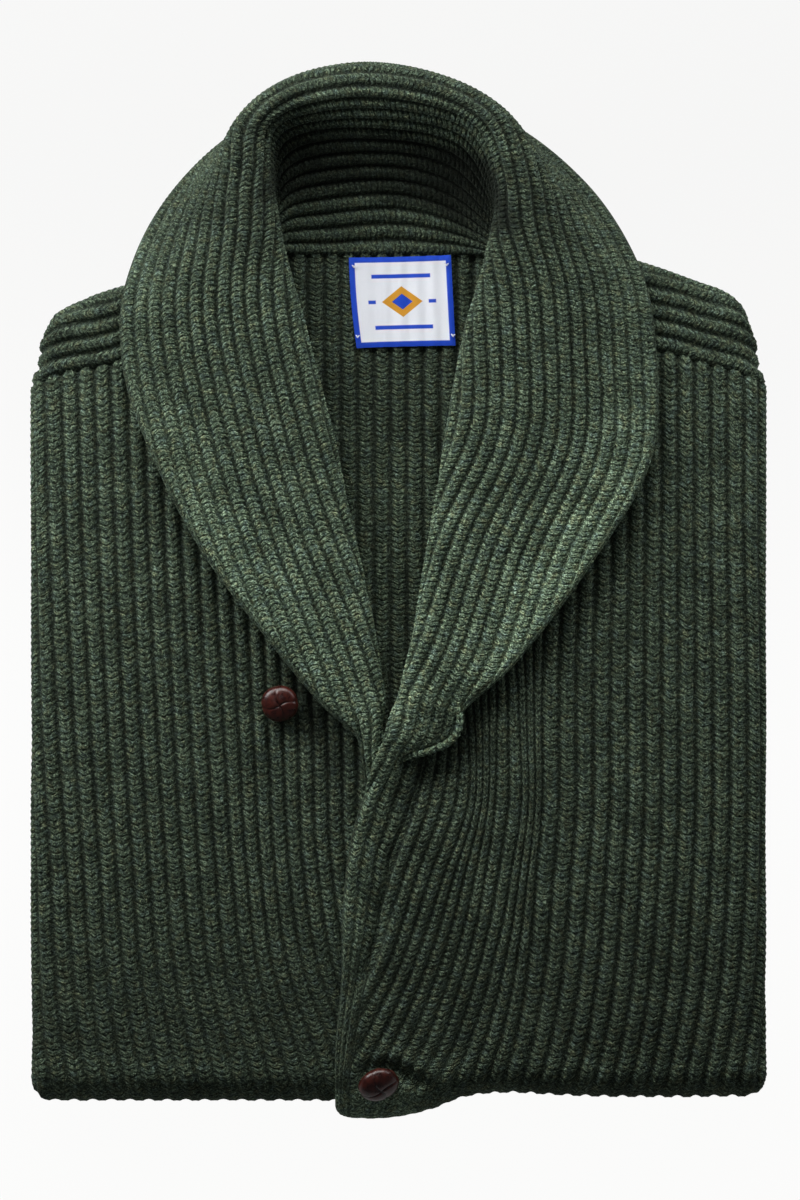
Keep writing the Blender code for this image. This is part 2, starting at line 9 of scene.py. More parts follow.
import bmesh
import bpy
import numpy as np
from mathutils import Euler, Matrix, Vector


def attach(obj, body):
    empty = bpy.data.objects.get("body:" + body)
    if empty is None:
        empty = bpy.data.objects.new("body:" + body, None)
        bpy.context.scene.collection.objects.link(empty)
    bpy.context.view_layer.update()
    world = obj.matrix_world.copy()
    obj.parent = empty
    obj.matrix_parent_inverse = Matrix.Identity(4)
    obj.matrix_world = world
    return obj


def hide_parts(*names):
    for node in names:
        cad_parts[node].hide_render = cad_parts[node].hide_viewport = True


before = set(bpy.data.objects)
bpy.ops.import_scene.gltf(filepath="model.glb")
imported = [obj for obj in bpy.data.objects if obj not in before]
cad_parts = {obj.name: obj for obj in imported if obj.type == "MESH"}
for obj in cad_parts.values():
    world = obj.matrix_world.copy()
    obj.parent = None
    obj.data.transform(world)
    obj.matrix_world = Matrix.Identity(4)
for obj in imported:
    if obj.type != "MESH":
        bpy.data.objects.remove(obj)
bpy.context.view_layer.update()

MM = 0.001
TINY = 1e-9

# ---- the cardigan's dimensions, as in its model --------------------------------------------------
HALF_WIDTH = 201.0
WALL = 2.2
RELIEF = 1.7
LAY_GAP = 0.5
FLOOR_GAP = 0.3
EDGE_TOP = 34.6
CROWN = 3.4
SIDE_ROLL = 9.0
WRAP_ANGLE = math.radians(150)
FRONT_BOTTOM = 279.4
COLLAR_PITCH = 8.0
BACK_PITCH = 9.1
BACK_RIBS = 16
YOKE_PITCH = 8.6
YOKE_RIBS = 8
YOKE_TAPER = 4.5
YOKE_WRAP = math.radians(122)
LAP_STEP = WALL + RELIEF + LAY_GAP

# ---- the knit ------------------------------------------------------------------------------------
STITCH = 3.65             # height of a stitch along its rib
COLLAR_STITCH = 3.1
BACK_STITCH = 2.9
ACROSS = np.array([0.0, 0.15, 0.32, 0.50, 0.68, 0.85])    # points across a rib, as shares of it
ARM_LEAN = 1.7            # stitches that an arm of a stitch climbs over the full pitch of a rib
LAPEL_LEAN = 0.62         # the same, on the collar, as a share of it
ARM_RELIEF = 0.50
VALLEY_DEPTH = 0.9        # how much deeper than the model's the valleys between its ribs are
RIB_GAP = 0.3             # least pitch of ribs that are squeezed together
EDGE_TURN = ((0.55, 0.5), (0.8, 1.6), (0.45, 2.7), (-1.5, 3.3), (-6.0, 3.4))    # out and down
EDGE_STEP = 0.065         # share of a rib that each step of a turned edge takes
SEAM_LAP = 0.3            # how far a yoke's first valley lies below its seam
SEAM_TUCK = 1.6           # how far a front draws down into its seam, over its first rows
TUCK_ROWS = 4
ROWS = {"front_right": 450, "front_left": 430, "yoke": 150, "back": 300, "collar": 700}
STACK_POINTS = 480        # round the folded layers. The others' rows are those above
SHADE_AND_DEPTH = ("painted_light", "depth")   # the light or shade painted into each point of a knitted piece, and how deep its ribs are


def columns(header, rows):
    """Turn a short table into named columns."""
    return dict(zip(header.split(), np.array(rows, dtype=float).T))


# Share of a rib's height, by how far a point is off the rib's middle.
RIB_SHAPE = columns("off height", [
    (0, 0.86), (0.10, 0.94), (0.18, 0.98), (0.27, 0.66), (0.36, 0.20), (0.44, 0.05), (0.5, 0)])

RIBS_RIGHT = columns("y first pitch_side pitch_mid", [
    (-285, -179.0, 10.3, 10.2),
    (-246, -185.5, 9.95, 9.35),
    (-213, -188.5, 9.45, 8.5),
    (-147, -192.0, 9.1, 7.8),
    (-81, -196.5, 9.15, 8.1),
    (18, -201.0, 9.1, 8.25),
    (120, -204.0, 9.1, 8.25)])
TURN_RIGHT = 11           # the rib from which they have the pitch of the middle

# Place of the last rib, and the width of a rib in each group, from the side fold to the band. Ribs
# that are squeezed together beside the collar's end fan out below it.
RIBS_LEFT = columns("y last side near next fan inner", [
    (-285, 174.0, 10.1, 9.3, 9.3, 8.7, 10.2),
    (-268, 177.6, 10.0, 9.0, 9.1, 8.4, 9.8),
    (-246, 181.8, 9.82, 8.2, 8.0, 8.5, 8.8),
    (-224, 185.4, 9.76, 7.3, 7.7, 7.7, 8.2),
    (-202, 187.8, 9.71, 6.4, 7.15, 7.15, 7.2),
    (-180, 189.3, 9.66, 5.3, 7.15, 6.6, 7.3),
    (-158, 190.5, 9.62, 4.6, 7.15, 5.8, 7.4),
    (-114, 191.6, 9.40, 3.7, 7.4, 3.6, 7.2),
    (-81, 191.7, 9.42, 3.9, 6.6, 3.8, 5.5),
    (-53, 191.6, 9.40, 4.4, 5.8, 4.6, 5.0),
    (18, 190.2, 9.1, 7.0, 7.0, 6.4, 6.4),
    (120, 190.0, 9.1, 8.0, 8.0, 8.0, 8.0)])
GROUPS_LEFT = (("side", 12), ("near", 3), ("next", 2), ("fan", 4), ("inner", 99))    # and its ribs
LAST_LEFT = 25            # number of the last rib

EDGE_RIGHT = columns("y x", [
    (-290, -2), (-120, -2), (-83, -4), (-60, -12.5), (-16, -23.5), (34, -37.5), (92, -54),
    (150, -75)])
EDGE_LEFT = columns("y x", [
    (-290, -35), (-246, -34.5), (-213, -31.5), (-180, -31), (-147, -28), (-114, -20), (-97, -13),
    (-83, -8), (-53, 6), (-12, 15.5), (39, 28), (92, 40.5), (150, 58.5)])
BAND_LEFT = columns("y x", [
    (-290, -29), (-273, -29.5), (-246, -26), (-213, -19.5), (-200, -16.5), (-188, -12.5),
    (-174, -10.2), (-158, -6.5), (-147, -5.8), (-138, -2.5), (-125, 3), (-114, 6.3), (-103, 9.6),
    (-87, 13.5), (-53, 24), (39, 45), (150, 72)])
BAND_RIBS = 3

BOTTOM_LEFT = columns("x y", [
    (-36, 281), (-33.5, 286), (-29.5, 288.5), (-23, 289.3), (0, 288.5), (12, 286), (23, 282.5),
    (31, 279), (45, 276), (60, 275), (90, 276.5), (240, 276.5)])

SEAM_RIGHT = columns("x y", [
    (-240, 108), (-202, 115), (-186, 121), (-164, 125), (-150, 129), (-75, 147)])
SHOULDER_RIGHT = columns("x y", [
    (-240, 128), (-206, 138), (-198, 146), (-190, 152), (-175, 160), (-160, 165.5), (-150, 168.5),
    (-75, 182)])
SEAM_LEFT = columns("x y", [
    (58, 150), (141, 134), (155, 131), (166, 127.5), (188, 121.5), (202, 115), (240, 106)])
SHOULDER_LEFT = columns("x y", [
    (58, 187), (129, 183), (144, 178), (166, 170), (177, 166), (185, 161), (189, 157), (198, 146),
    (208, 134), (240, 118)])

BACK = columns("y left right height", [
    (-112, -20, 4, 33.5), (-59, -27, 11, 30.5), (-4, -38, 23, 27.5), (51, -49, 35, 25.5),
    (106, -63, 48, 24.2), (144, -72, 56, 23.5), (185, -74, 58, 23)])

COLLAR = columns(
    "seam_x seam_y seam_up roll_x roll_y crest_up crest_in edge_x edge_y edge_up edge_deg "
    "plateau flare first", [
        (-12, -107, 2.0, -9, -105.5, 3.6, 2, -17.5, -110, 2.6, -10, 2, 2, 8.6),
        (-15, -84, 2.6, -9.2, -82, 9.0, 4, -20, -90, 4.6, -8, 3, 3, 8.2),
        (-15, -73.5, 2.7, -9.6, -71.5, 11.5, 5, -23.5, -78.7, 5.6, -5, 4, 4, 7.6),
        (-14.2, -56.5, 2.7, -8.6, -54.5, 12.0, 5.5, -43, -60, 9.0, 6, 10, 9, 6.0),
        (-24.5, -12.5, 2.7, -16, -10.5, 13.0, 6, -71, -25, 13.0, 16, 20, 16, 4.2),
        (-38.5, 37.5, 2.7, -27, 40, 14.5, 6.5, -106, 22, 15.0, 20, 30, 30, 2.2),
        (-54, 93.5, 2.7, -39.5, 97, 16.5, 7, -134, 75, 14.0, 16, 38, 34, 0.8),
        (-67.5, 142, 2.7, -54, 153, 19, 8, -151.5, 125.5, 8.0, -2, 44, 32, 0),
        (-74.5, 176, 2.0, -63.5, 188.5, 23, 9, -150.5, 170, 3.8, -18, 36, 24, 0),
        (-73, 183, -3, -69.5, 227, 28, 9, -128.5, 218.5, -21, -25, 26, 18, 0),
        (-59.5, 185.8, -10.5, -63.0, 250.5, 32, 17, -84, 258, -30.5, -82, 19, 26, 0),
        (-14.5, 185.8, -11.6, -18.5, 253.5, 34, 24.5, -18.5, 284, -30.5, -95, 20, 30, 0),
        (31, 186, -10.5, 34.5, 249.5, 32, 17, 52, 264, -30.5, -82, 19, 26, 0),
        (55, 184.5, -5, 54, 221.5, 28, 9, 102.5, 228.5, -20, -25, 26, 18, 0),
        (58.6, 178, 2.2, 49, 186, 23, 9, 133.5, 178, 4.2, -18, 36, 24, 0),
        (53, 142, 2.7, 37.5, 144.5, 19.5, 8, 141.5, 128, 8.0, -2, 44, 32, 0),
        (40.3, 91, 2.7, 28, 92.5, 18, 7, 137, 72, 14.0, 16, 38, 34, 0.4),
        (27, 33.5, 2.7, 18.5, 34.5, 17, 6.5, 106.5, 19, 15.0, 20, 30, 30, 1.2),
        (14.6, -21.5, 2.7, 9, -20.5, 15.5, 6.5, 66, -35, 13.0, 16, 20, 18, 4.0),
        (6.8, -54.5, 2.7, 1.5, -53.5, 14, 6, 38, -61.5, 10.0, 8, 12, 10, 5.7),
        (2.5, -67, 2.7, -3.5, -66.5, 13, 6, 33.5, -68.5, 8.5, 5, 10, 9, 6.0),
        (-1, -77, 2.7, -6.8, -77.3, 12, 5, 27.5, -80.0, 7.0, 0, 9, 8, 6.4),
        (-3.5, -84, 2.7, -9.3, -84.5, 10.5, 4, 13, -85.8, 5.5, -5, 6, 5, 7.6),
        (-6.5, -90.5, 2.7, -11.8, -91, 8.5, 4, 3.5, -90.0, 3.6, -6, 4, 3, 8.5),
        (-12, -103, 1.8, -16.5, -103, 4.6, 3, -0.5, -102.5, 1.6, -5, 4, 3, 8.3),
        (-16, -116, -1.6, -20.6, -116, -0.6, 2, -2.2, -115.5, -2.4, -3, 4, 3, 8.1)])
COLLAR_RIBS = 22
COLLAR_MIDDLE = 11        # the table's row at the back of the neck

# The hollow under the rolled-over neck, where shadow is painted into the wool: where its painted
# shadow starts and ends, and how deep it is.
HOLLOW = columns("x low high shade", [
    (-67, 214, 266, 0.74), (-50, 218, 264, 0.74), (-27, 221, 262, 0.62), (-8, 216, 258, 0.62),
    (8, 212, 254, 0.72), (22, 207, 250, 0.84), (34, 199, 246, 0.90), (44, 194, 242, 0.88)])

# Folds of the lap below the collar: each a line of (x, y, height) points, and its width.
LAP_FOLDS = (
    (((-3, -96, 3.0), (-13, -108, 3.4), (-21, -128, 3.4), (-25, -147, 3.4), (-27, -188, 3.4),
      (-28, -221, 3.2), (-29, -262, 2.0)), 6.8),
    (((1, -141, 1.0), (-3.6, -160, 1.8), (-6.9, -182, 2.6), (-11.3, -199, 3.0), (-18, -213, 2.8),
      (-24.5, -229, 2.0), (-28.3, -246, 0.6)), 6.0),
    (((9.6, -103, -1.2), (3, -125, -2.2), (-5.8, -147, -3.0), (-7.5, -160, -3.8),
      (-10.5, -174, -5.0), (-13, -190, -6.0), (-17, -203, -4.5), (-27, -226, -1.0)), 3.8),
    (((-20, -257, 0.0), (-7, -254, 1.2), (3, -256, 2.8), (13, -262.5, 2.4), (23, -270, 0.6)), 5.0),
    (((-21, -264, -1.5), (-12, -259.5, -3.0), (-2, -260, -4.4), (5, -264.5, -4.8),
      (12, -269, -3.4), (18, -271, -1.0)), 3.8),
    (((38, -72, -1.5), (34, -86, -3.4), (26, -96, -3.6), (15, -103, -2.4), (9, -112, -0.8)), 8.0),
    (((66, -60, 0.2), (72, -100, 1.3), (72, -160, 1.0), (62, -215, 0.2)), 16.0),
)

# Painted shade: lines of (x, y, share) points where the wool is painted darker, for the shadow under
# the collar's tab, beside the top button, and inside the tab's cast-off edge.
TAB_SHADE = ((44, -62, 0.15), (37, -78, 0.40), (28, -92, 0.42), (16, -100, 0.25))
BUTTON_SHADE = ((-58, -40, 0.25), (-53, -53, 0.66), (-47, -66, 0.66), (-42, -80, 0.55),
                (-37, -95, 0.48), (-34, -114, 0.20))
TAB_RECESS = ((17, -66, 0.30), (23.5, -67.5, 0.55), (25.0, -73, 0.60), (20, -78.5, 0.55),
              (12, -81.5, 0.30))

# The cast-off edge round the collar's end: its line, and its height over the lap at some of them.
WELT_LINE = np.array([(27.0, -60.5), (31.6, -63.6), (33.6, -69.0), (32.4, -76.0), (27.0, -82.2),
                      (17.5, -86.4), (8.0, -89.0), (1.5, -92.5)])
WELT_HEIGHT = ((0, 1.5, 3, 5, 7), (8.8, 8.6, 7.6, 5.6, 2.6))
WELT_RADIUS = 2.1
WELT_SIDES = 18

# How far the folded layers lie in from their outline, by height: at the sides, round the low
# corners and at the bottom.
STACK = columns("z side corner bottom", [
    (0, 5.0, 14, 26), (1.2, 2.2, 12, 24), (3.8, 0.9, 11, 22), (6.0, 2.0, 11, 20),
    (7.0, 4.6, 11, 17.5), (8.2, 1.4, 11, 14.5), (11.6, 0.9, 9, 9.5), (14.0, 8.5, 8, 7.2),
    (19, 9.8, 6, 4.9), (23, 6.6, 5, 4.4), (27, 5.4, 6, 6.2), (31, 9.8, 11.0, 11.0)])
# Rings of points over their top, as shares of the outline.
STACK_SHRINK = (0.9, 0.8, 0.69, 0.58, 0.46, 0.34, 0.22, 0.1)

# Place, tilt, turn and scale of each button.
BUTTONS = {
    "button_top": ((-65.2, -60.0, 41.2), (12, 0, 0), 38, 1.0),
    "button_low": ((-12.0, -266.5, 48.6), (44, 22, 0), 62, 1.12),
}
BUTTON_OUTLINE = columns("radius height", [
    (0, -1.6), (2.4, -1.6), (2.6, 0.2), (8.2, 0.4), (9.7, 2.2), (10.0, 4.0), (9.2, 6.0), (6.8, 7.8),
    (3.6, 8.7), (0, 9.0)])
SHANK_TOP = 2.0
STRIP_TWIST = 0.055       # how far the strips turn, in radians to a millimetre

LABEL_SIZE = (57.5, 50.0, 0.7)
LABEL_PLACE = (2.0, 160.6, 26.1)
LABEL_TURN = (0, 0, 1.5)
LABEL_TACKS = ((-26.1, 20.0), (25.0, 19.8), (-25.1, -18.6), (27.5, -19.4))
TACK_STITCHES = ((35, -0.35), (-50, 0.4))    # turn and shift of each
TACK_SIZE = (0.42, 1.15, 0.34)
TACK_HEIGHT = 1.55

# ---- colours, the lamps and the view -------------------------------------------------------------
WOOL_COLOURS = {
    "Dark": (0.0110, 0.0165, 0.0115), "Green": (0.052, 0.079, 0.050), "Light": (0.235, 0.315, 0.215),
    "Olive": (0.96, 1.12, 0.62), "Teal": (0.72, 1.09, 0.93)}
YARN_NOISE = ((900.0, 1.0, 0.7), (60.0, 0.0, 0.5), (240.0, 2.0, 0.7))    # scale, detail, roughness
RIB_SIDE = 0.42           # how far off a rib's middle the painted shade of its valley starts
LEATHER = {
    "dark": (0.026, 0.005, 0.004), "light": (0.070, 0.012, 0.007), "seam": (0.006, 0.003, 0.003)}
LABEL_WHITE, LABEL_OCHRE = (0.90, 0.93, 1.0), (0.72, 0.34, 0.02)
LABEL_BLUE, LABEL_SHADE = (0.011, 0.068, 0.60), (0.05, 0.07, 0.20)

COOL = (0.97, 0.98, 1.0)
LAMPS = (                 # name, place, what it points at, size, power and colour
    ("key", (-0.20, 0.70, 0.45), (0.0, 0.06, 0.0), (1.8, 0.42), 14.0, (1.0, 0.99, 0.97)),
    ("side", (-0.56, 0.34, 0.22), (-0.12, 0.10, 0.0), (0.5, 0.2), 1.5, COOL),
    ("side", (0.56, 0.34, 0.22), (0.12, 0.10, 0.0), (0.5, 0.2), 0.9, COOL),
    ("fill", (-0.1, 0.1, 2.2), (0.0, 0.0, 0.0), (1.0, 1.0), 1.3, COOL),
)
FLOOR_SIZE = 8.0
CAMERA_DISTANCE = 5.0
VIEW_HEIGHT = 0.660       # of what the camera shows, at the middle of the view
VIEW_MIDDLE = (0.0008, -0.0038, 0.035)


# ---- curves and surfaces -------------------------------------------------------------------------
def ease(t):
    """Smooth step from 0 to 1."""
    t = np.clip(t, 0.0, 1.0)
    return t * t * (3.0 - 2.0 * t)


def curve(t, knots, values):
    """Cubic curve through a table's points, level with the chord of each point's neighbours."""
    t = np.clip(t, knots[0], knots[-1])
    slopes = np.gradient(values, knots)
    i = np.clip(np.searchsorted(knots, t, side="right") - 1, 0, len(knots) - 2)
    span = knots[i + 1] - knots[i]
    f = (t - knots[i]) / span
    start = values[i] * (1 + 2 * f) * (1 - f) ** 2 + slopes[i] * span * f * (1 - f) ** 2
    end = values[i + 1] * f ** 2 * (3 - 2 * f) + slopes[i + 1] * span * f ** 2 * (f - 1)
    return start + end


def follow(table, t, name=None):
    """Curve through a column of a table, which is its second unless named, along its first."""
    first, second = list(table)[:2]
    return curve(t, table[first], table[name or second])


def ripple(a, b, seed):
    """Soft irregular waves of two places, about -1 to 1, the same each run."""
    rng = np.random.default_rng(seed)
    total = 0.0
    for _ in range(5):
        turn, phase, scale = (rng.uniform(0, math.tau), rng.uniform(0, math.tau),
                              rng.uniform(0.6, 1.7))
        total = total + np.sin(scale * (a * math.cos(turn) + b * math.sin(turn)) + phase)
    return total / 2.6


def run_of(points):
    """Length along a line of points, up to each of them."""
    steps = np.linalg.norm(np.diff(points, axis=0), axis=-1)
    return np.insert(np.cumsum(steps, axis=0), 0, 0.0, axis=0)


def along(points, length):
    """Points at given lengths along a line of points."""
    run = run_of(points)
    return np.stack([np.interp(length, run, places) for places in points.T], axis=-1)


def front_top(x, y):
    """Height of the fronts' valleys over the surface, without the lap."""
    across = 1.0 - np.clip(np.abs(x) / HALF_WIDTH, 0, 1) ** 2
    along_front = 0.35 + 0.65 * ease((150.0 - y) / 200.0)
    return EDGE_TOP + CROWN * across * along_front


def lap(x, y):
    """How much the wearer's left front is lifted by the layer under it."""
    return LAP_STEP * (1 - ease((x - 2) / 42)) * (1 - ease((y + 60) / 80))


def ribs_right(rib, y):
    """Place of each numbered valley across the wearer's right front."""
    first, side, mid = (follow(RIBS_RIGHT, y, k) for k in ("first", "pitch_side", "pitch_mid"))
    return first + side * np.minimum(rib, TURN_RIGHT) + mid * np.maximum(rib - TURN_RIGHT, 0)


def ribs_left(rib, y):
    """The same across the left front, counted back from its last rib."""
    place = follow(RIBS_LEFT, y, "last")
    left_over = LAST_LEFT - rib
    for group, count in GROUPS_LEFT:
        place = place - follow(RIBS_LEFT, y, group) * np.minimum(left_over, count)
        left_over = np.maximum(left_over - count, 0)
    return place


def held(places, low, high, number, gap=RIB_GAP):
    """Hold rising places between two limits and at least a small gap for each rib apart."""
    places = np.maximum(places, low + gap * (number - number[0]))
    return np.minimum(places, high - gap * (number[-1] - number))


def crowd(places, start, end):
    """Keep places up to a start, and squeeze those beyond it so that the last is at the end."""
    beyond = np.maximum(places - start, 0.0)
    room = beyond[-1] / (end - start)
    return np.minimum(places, start) + beyond / (1 + (room - 1) * beyond / beyond[-1])


def wrapped(u, v, side, top, half_width, end, roll_end):
    """Point of a front or yoke, whose cloth turns down at its side fold and at its far end."""
    out = np.maximum(0.0, side * u - (half_width - SIDE_ROLL)) / SIDE_ROLL
    down = np.maximum(0.0, v - (end - roll_end)) / roll_end
    angle = (out ** 6 + down ** 6) ** (1 / 6)
    length = np.maximum(np.hypot(out, down), TINY)
    to_side, to_end = out / length, down / length
    roll = SIDE_ROLL * to_side ** 2 + roll_end * to_end ** 2
    x = side * (np.minimum(side * u, half_width - SIDE_ROLL) + roll * np.sin(angle) * to_side)
    y = np.minimum(v, end - roll_end) + roll * np.sin(angle) * to_end
    return np.stack([x, y, top - roll * (1 - np.cos(angle))], axis=-1)


def front_shape(u, y, left):
    """Height of a front, how far down it reaches, and the radius of its roll at the bottom."""
    if left:
        top, bottom, under = front_top(u, y) + lap(u, y), follow(BOTTOM_LEFT, u), 0.0
    else:
        top, bottom = front_top(u, y), np.full_like(u, FRONT_BOTTOM)
        under = LAP_STEP * ease((u + 48) / 11)
    return top, bottom, (top - FLOOR_GAP - RELIEF - under) / 2


def yoke_shape(u, w, seam, shoulder):
    """Seam, half width, shoulder line and radius of its roll, for a point of a yoke."""
    start, end = follow(seam, u), follow(shoulder, u)
    half_width = HALF_WIDTH - YOKE_TAPER * ease(w / 16)
    return start, half_width, end, np.minimum(SIDE_ROLL, 0.45 * (end - start))


def bezier(a, b, c, d):
    """Points along a cubic with these ends and handles."""
    t = np.linspace(0, 1, 33)[:, None]
    return a * (1 - t) ** 3 + 3 * b * t * (1 - t) ** 2 + 3 * c * t * t * (1 - t) + d * t ** 3


def collar_section(row):
    """Outer face of the collar at one section, from its free edge to its seam.

    With it come the length from which its ribs crowd together and the number of its first rib.
    """
    rows = np.arange(len(COLLAR["first"]), dtype=float)
    at = {name: float(curve(row, rows, values)) for name, values in COLLAR.items()}

    def place(name, up):
        x, y = at[name + "_x"], at[name + "_y"]
        z = front_top(x, y) + at[up] + (lap(x, y) if row > COLLAR_MIDDLE else 0.0)
        return np.array([x, y, float(z)])

    seam, roll, edge = place("seam", "seam_up"), place("roll", "crest_up"), place("edge", "edge_up")
    outward = (edge - roll)[:2] / np.hypot(*(edge - roll)[:2])
    crest = roll + np.append(outward * at["crest_in"], 0.0)
    turn = (8 * roll[:2] - seam[:2] - crest[:2]) / 6
    slope = math.radians(at["edge_deg"])
    arrive = np.append(outward * math.cos(slope), math.sin(slope))
    level = np.append(outward * at["plateau"], 0.0)
    fall = bezier(edge, edge - arrive * at["flare"], crest + level, crest)
    stand = bezier(crest, np.append(turn, crest[2]), np.append(turn, seam[2]), seam)
    crowd_from = run_of(fall)[-1] + 0.35 * run_of(stand)[-1]
    return np.vstack([fall, stand[1:]]), crowd_from, at["first"]


def fold(x, y, line, width):
    """A soft ridge along a line of (x, y, height) points, or a valley where height is negative."""
    best, height = np.full(np.shape(x), np.inf), np.zeros(np.shape(x))
    for (ax, ay, ah), (bx, by, bh) in zip(line, line[1:]):
        dx, dy = bx - ax, by - ay
        t = np.clip(((x - ax) * dx + (y - ay) * dy) / (dx * dx + dy * dy), 0, 1)
        away = np.hypot(x - ax - t * dx, y - ay - t * dy)
        height = np.where(away < best, ah + (bh - ah) * t, height)
        best = np.minimum(best, away)
    return height * np.exp(-(best / width) ** 2)


# ---- knitted shells ------------------------------------------------------------------------------
def mesh_of(name, bm):
    """A smooth mesh from a finished shape."""
    mesh = bpy.data.meshes.new(name)
    bm.to_mesh(mesh)
    bm.free()
    mesh.shade_smooth()
    return mesh


def mark(mesh, kind, values):
    """Give each point of a mesh a number, which its material reads by name."""
    layer = mesh.attributes.new(kind, "FLOAT", "POINT")
    layer.data.foreach_set("value", values.astype(np.float32))


def rib_numbers(first, last):
    """Rib number of each column of points, and the rib that each strip of faces belongs to."""
    ribs = np.arange(first, last)
    number = np.append((ribs[:, None] + ACROSS[None, :]).ravel(), last)
    return number.astype(float), np.repeat(np.arange(len(ribs)), len(ACROSS))


def between(valleys):
    """Places of all columns of a row, from the places of its valleys."""
    start, end = valleys[..., :-1, None], valleys[..., 1:, None]
    inner = (start + (end - start) * ACROSS).reshape(*valleys.shape[:-1], -1)
    return np.concatenate([inner, valleys[..., -1:]], axis=-1)


def unit(vectors):
    return vectors / np.maximum(np.linalg.norm(vectors, axis=-1, keepdims=True), TINY)


def thick_edge(shell, normal, axis):
    """Points of a thick rounded edge, before a shell's first row (axis 0) or column (axis 1)."""
    edge = shell.take(0, axis)
    step, below = unit(edge - shell.take(3, axis)), normal.take(2, axis)
    return np.stack([edge + step * out - below * down for out, down in EDGE_TURN[::-1]], axis=axis)


def knit_shell(name, points, number, strip, seed, lean=1.0, turned=False, strength=1.0, peak=1.0,
               thick=(), painted_light=1.0, stitch=STITCH):
    """A ribbed shell over a smooth grid of points, with its stitches in relief and in its UV map.

    lean is how far a stitch's arms climb, peak how narrow the ribs stand, strength how deep they
    are, and nap how much light or shade is painted into their wool. turned says that rows and
    columns run the other way round, and thick names the axes whose first row or column ends in a
    thick rounded edge.
    """
    rows, cols = points.shape[:2]
    normal = unit(np.cross(np.gradient(points, axis=0), np.gradient(points, axis=1)))
    normal = normal * (-1 if turned else 1)
    ribs = cols // len(ACROSS)
    middle = np.arange(ribs) * len(ACROSS) + 3
    stitches = run_of(points[:, middle]) / stitch
    stitches = stitches + 0.16 * ripple(np.arange(ribs)[None, :] * 2.1, stitches * 0.31, seed + 5)

    off = np.abs(number - np.floor(number) - 0.5)
    off[-1] = 0.5
    rib = np.minimum(np.arange(cols) // len(ACROSS), ribs - 1)
    full = np.interp(off, RIB_SHAPE["off"], RIB_SHAPE["height"]) ** peak
    width = np.linalg.norm(np.diff(points[:, ::len(ACROSS)], axis=1), axis=-1)
    usual = np.median(width[width > 2])
    size = np.clip(width / (0.62 * usual), 0, 1)[:, rib]
    arm = np.cos(math.tau * (stitches[:, rib] + lean * ARM_LEAN * off))
    uneven = 1 + 0.10 * ripple(number[None, :] * 1.3, stitches[:, rib] * 0.16, seed)
    height = (RELIEF + VALLEY_DEPTH) * full * uneven - VALLEY_DEPTH
    height = height + full * ARM_RELIEF * 0.5 * arm
    shell = points + normal * (height * size * strength)[..., None]

    shade_and_depth = np.stack([np.ones((rows, cols)) * painted_light, np.ones((rows, cols)) * strength], axis=-1)
    added = len(EDGE_TURN)
    back = np.arange(added, 0, -1)
    for axis in thick:
        shell = np.concatenate([thick_edge(shell, normal, axis), shell], axis=axis)
        margin = [(added if axis == k else 0, 0) for k in range(3)]
        normal, shade_and_depth = (np.pad(grid, margin, mode="edge") for grid in (normal, shade_and_depth))
        if axis == 0:
            pitch = (stitches[1] - stitches[0]) * back[:, None]
            stitches = np.concatenate([stitches[:1] - pitch, stitches])
        else:
            number = np.concatenate([number[0] - EDGE_STEP * back, number])
            strip = np.pad(strip, (added, 0), mode="edge")
    return knit_mesh(name, shell, number, strip, stitches, shade_and_depth, turned)


def knit_mesh(name, points, number, strip, stitches, shade_and_depth, turned):
    """A mesh from a grid of points. U counts ribs across, and V counts stitches along each rib.

    worn holds two numbers a point: the light or shade painted into its wool, and how deep its ribs
    are.
    """
    rows, cols = points.shape[:2]
    bm = bmesh.new()
    bmesh.ops.create_grid(bm, x_segments=cols - 1, y_segments=rows - 1, size=1.0)
    if not turned:
        bmesh.ops.reverse_faces(bm, faces=bm.faces)
    mesh = mesh_of(name, bm)
    flat = np.empty(rows * cols * 3, dtype=np.float32)
    mesh.vertices.foreach_get("co", flat)
    j = np.rint((flat[0::3] + 1) / 2 * (cols - 1)).astype(int)
    i = np.rint((flat[1::3] + 1) / 2 * (rows - 1)).astype(int)
    mesh.vertices.foreach_set("co", (points[i, j] * MM).astype(np.float32).ravel())
    corner = np.empty(len(mesh.loops), dtype=np.int32)
    mesh.loops.foreach_get("vertex_index", corner)
    row, col = i[corner], j[corner]
    face_strip = strip[np.minimum(col.reshape(-1, 4).min(axis=1), len(strip) - 1)]
    uv = np.column_stack([number[col], stitches[row, np.repeat(face_strip, 4)]])
    mesh.uv_layers.new(name="knit").data.foreach_set("uv", uv.astype(np.float32).ravel())
    for k, kind in enumerate(SHADE_AND_DEPTH):
        mark(mesh, kind, shade_and_depth[i, j, k])
    mesh.update()
    return mesh


# ---- the pieces of the garment -------------------------------------------------------------------
def front_grid(number, left, rows):
    """Grid of a front: columns follow its ribs, and rows go from the yoke down round the fold."""
    side_end = HALF_WIDTH - SIDE_ROLL + SIDE_ROLL * WRAP_ANGLE
    seam, ribs = (SEAM_LEFT, ribs_left) if left else (SEAM_RIGHT, ribs_right)
    share = np.linspace(0, 1, rows)[:, None]
    v = 140.0 - 430.0 * share + 0.0 * number[None, :]    # a first guess, mended four times
    for _ in range(4):
        y = np.maximum(v, RIBS_LEFT["y"][0])
        places = ribs(number[None, :], y)
        if left:
            crease, edge = follow(BAND_LEFT, y), follow(EDGE_LEFT, y)
            k = number[None, :] - number[0]
            u = np.where(k < BAND_RIBS, edge + (crease - edge) * k / BAND_RIBS,
                         held(places, crease, side_end, number))
        else:
            u = held(places, -side_end, follow(EDGE_RIGHT, y), number)
        _, bottom, roll = front_shape(u, -240.0, left)
        start = follow(seam, u)
        v = start - share * (start + bottom - roll + roll * WRAP_ANGLE)
    top, bottom, roll = front_shape(u, v, left)
    return wrapped(u, -v, 1 if left else -1, top, HALF_WIDTH, bottom, roll) * (1, -1, 1)


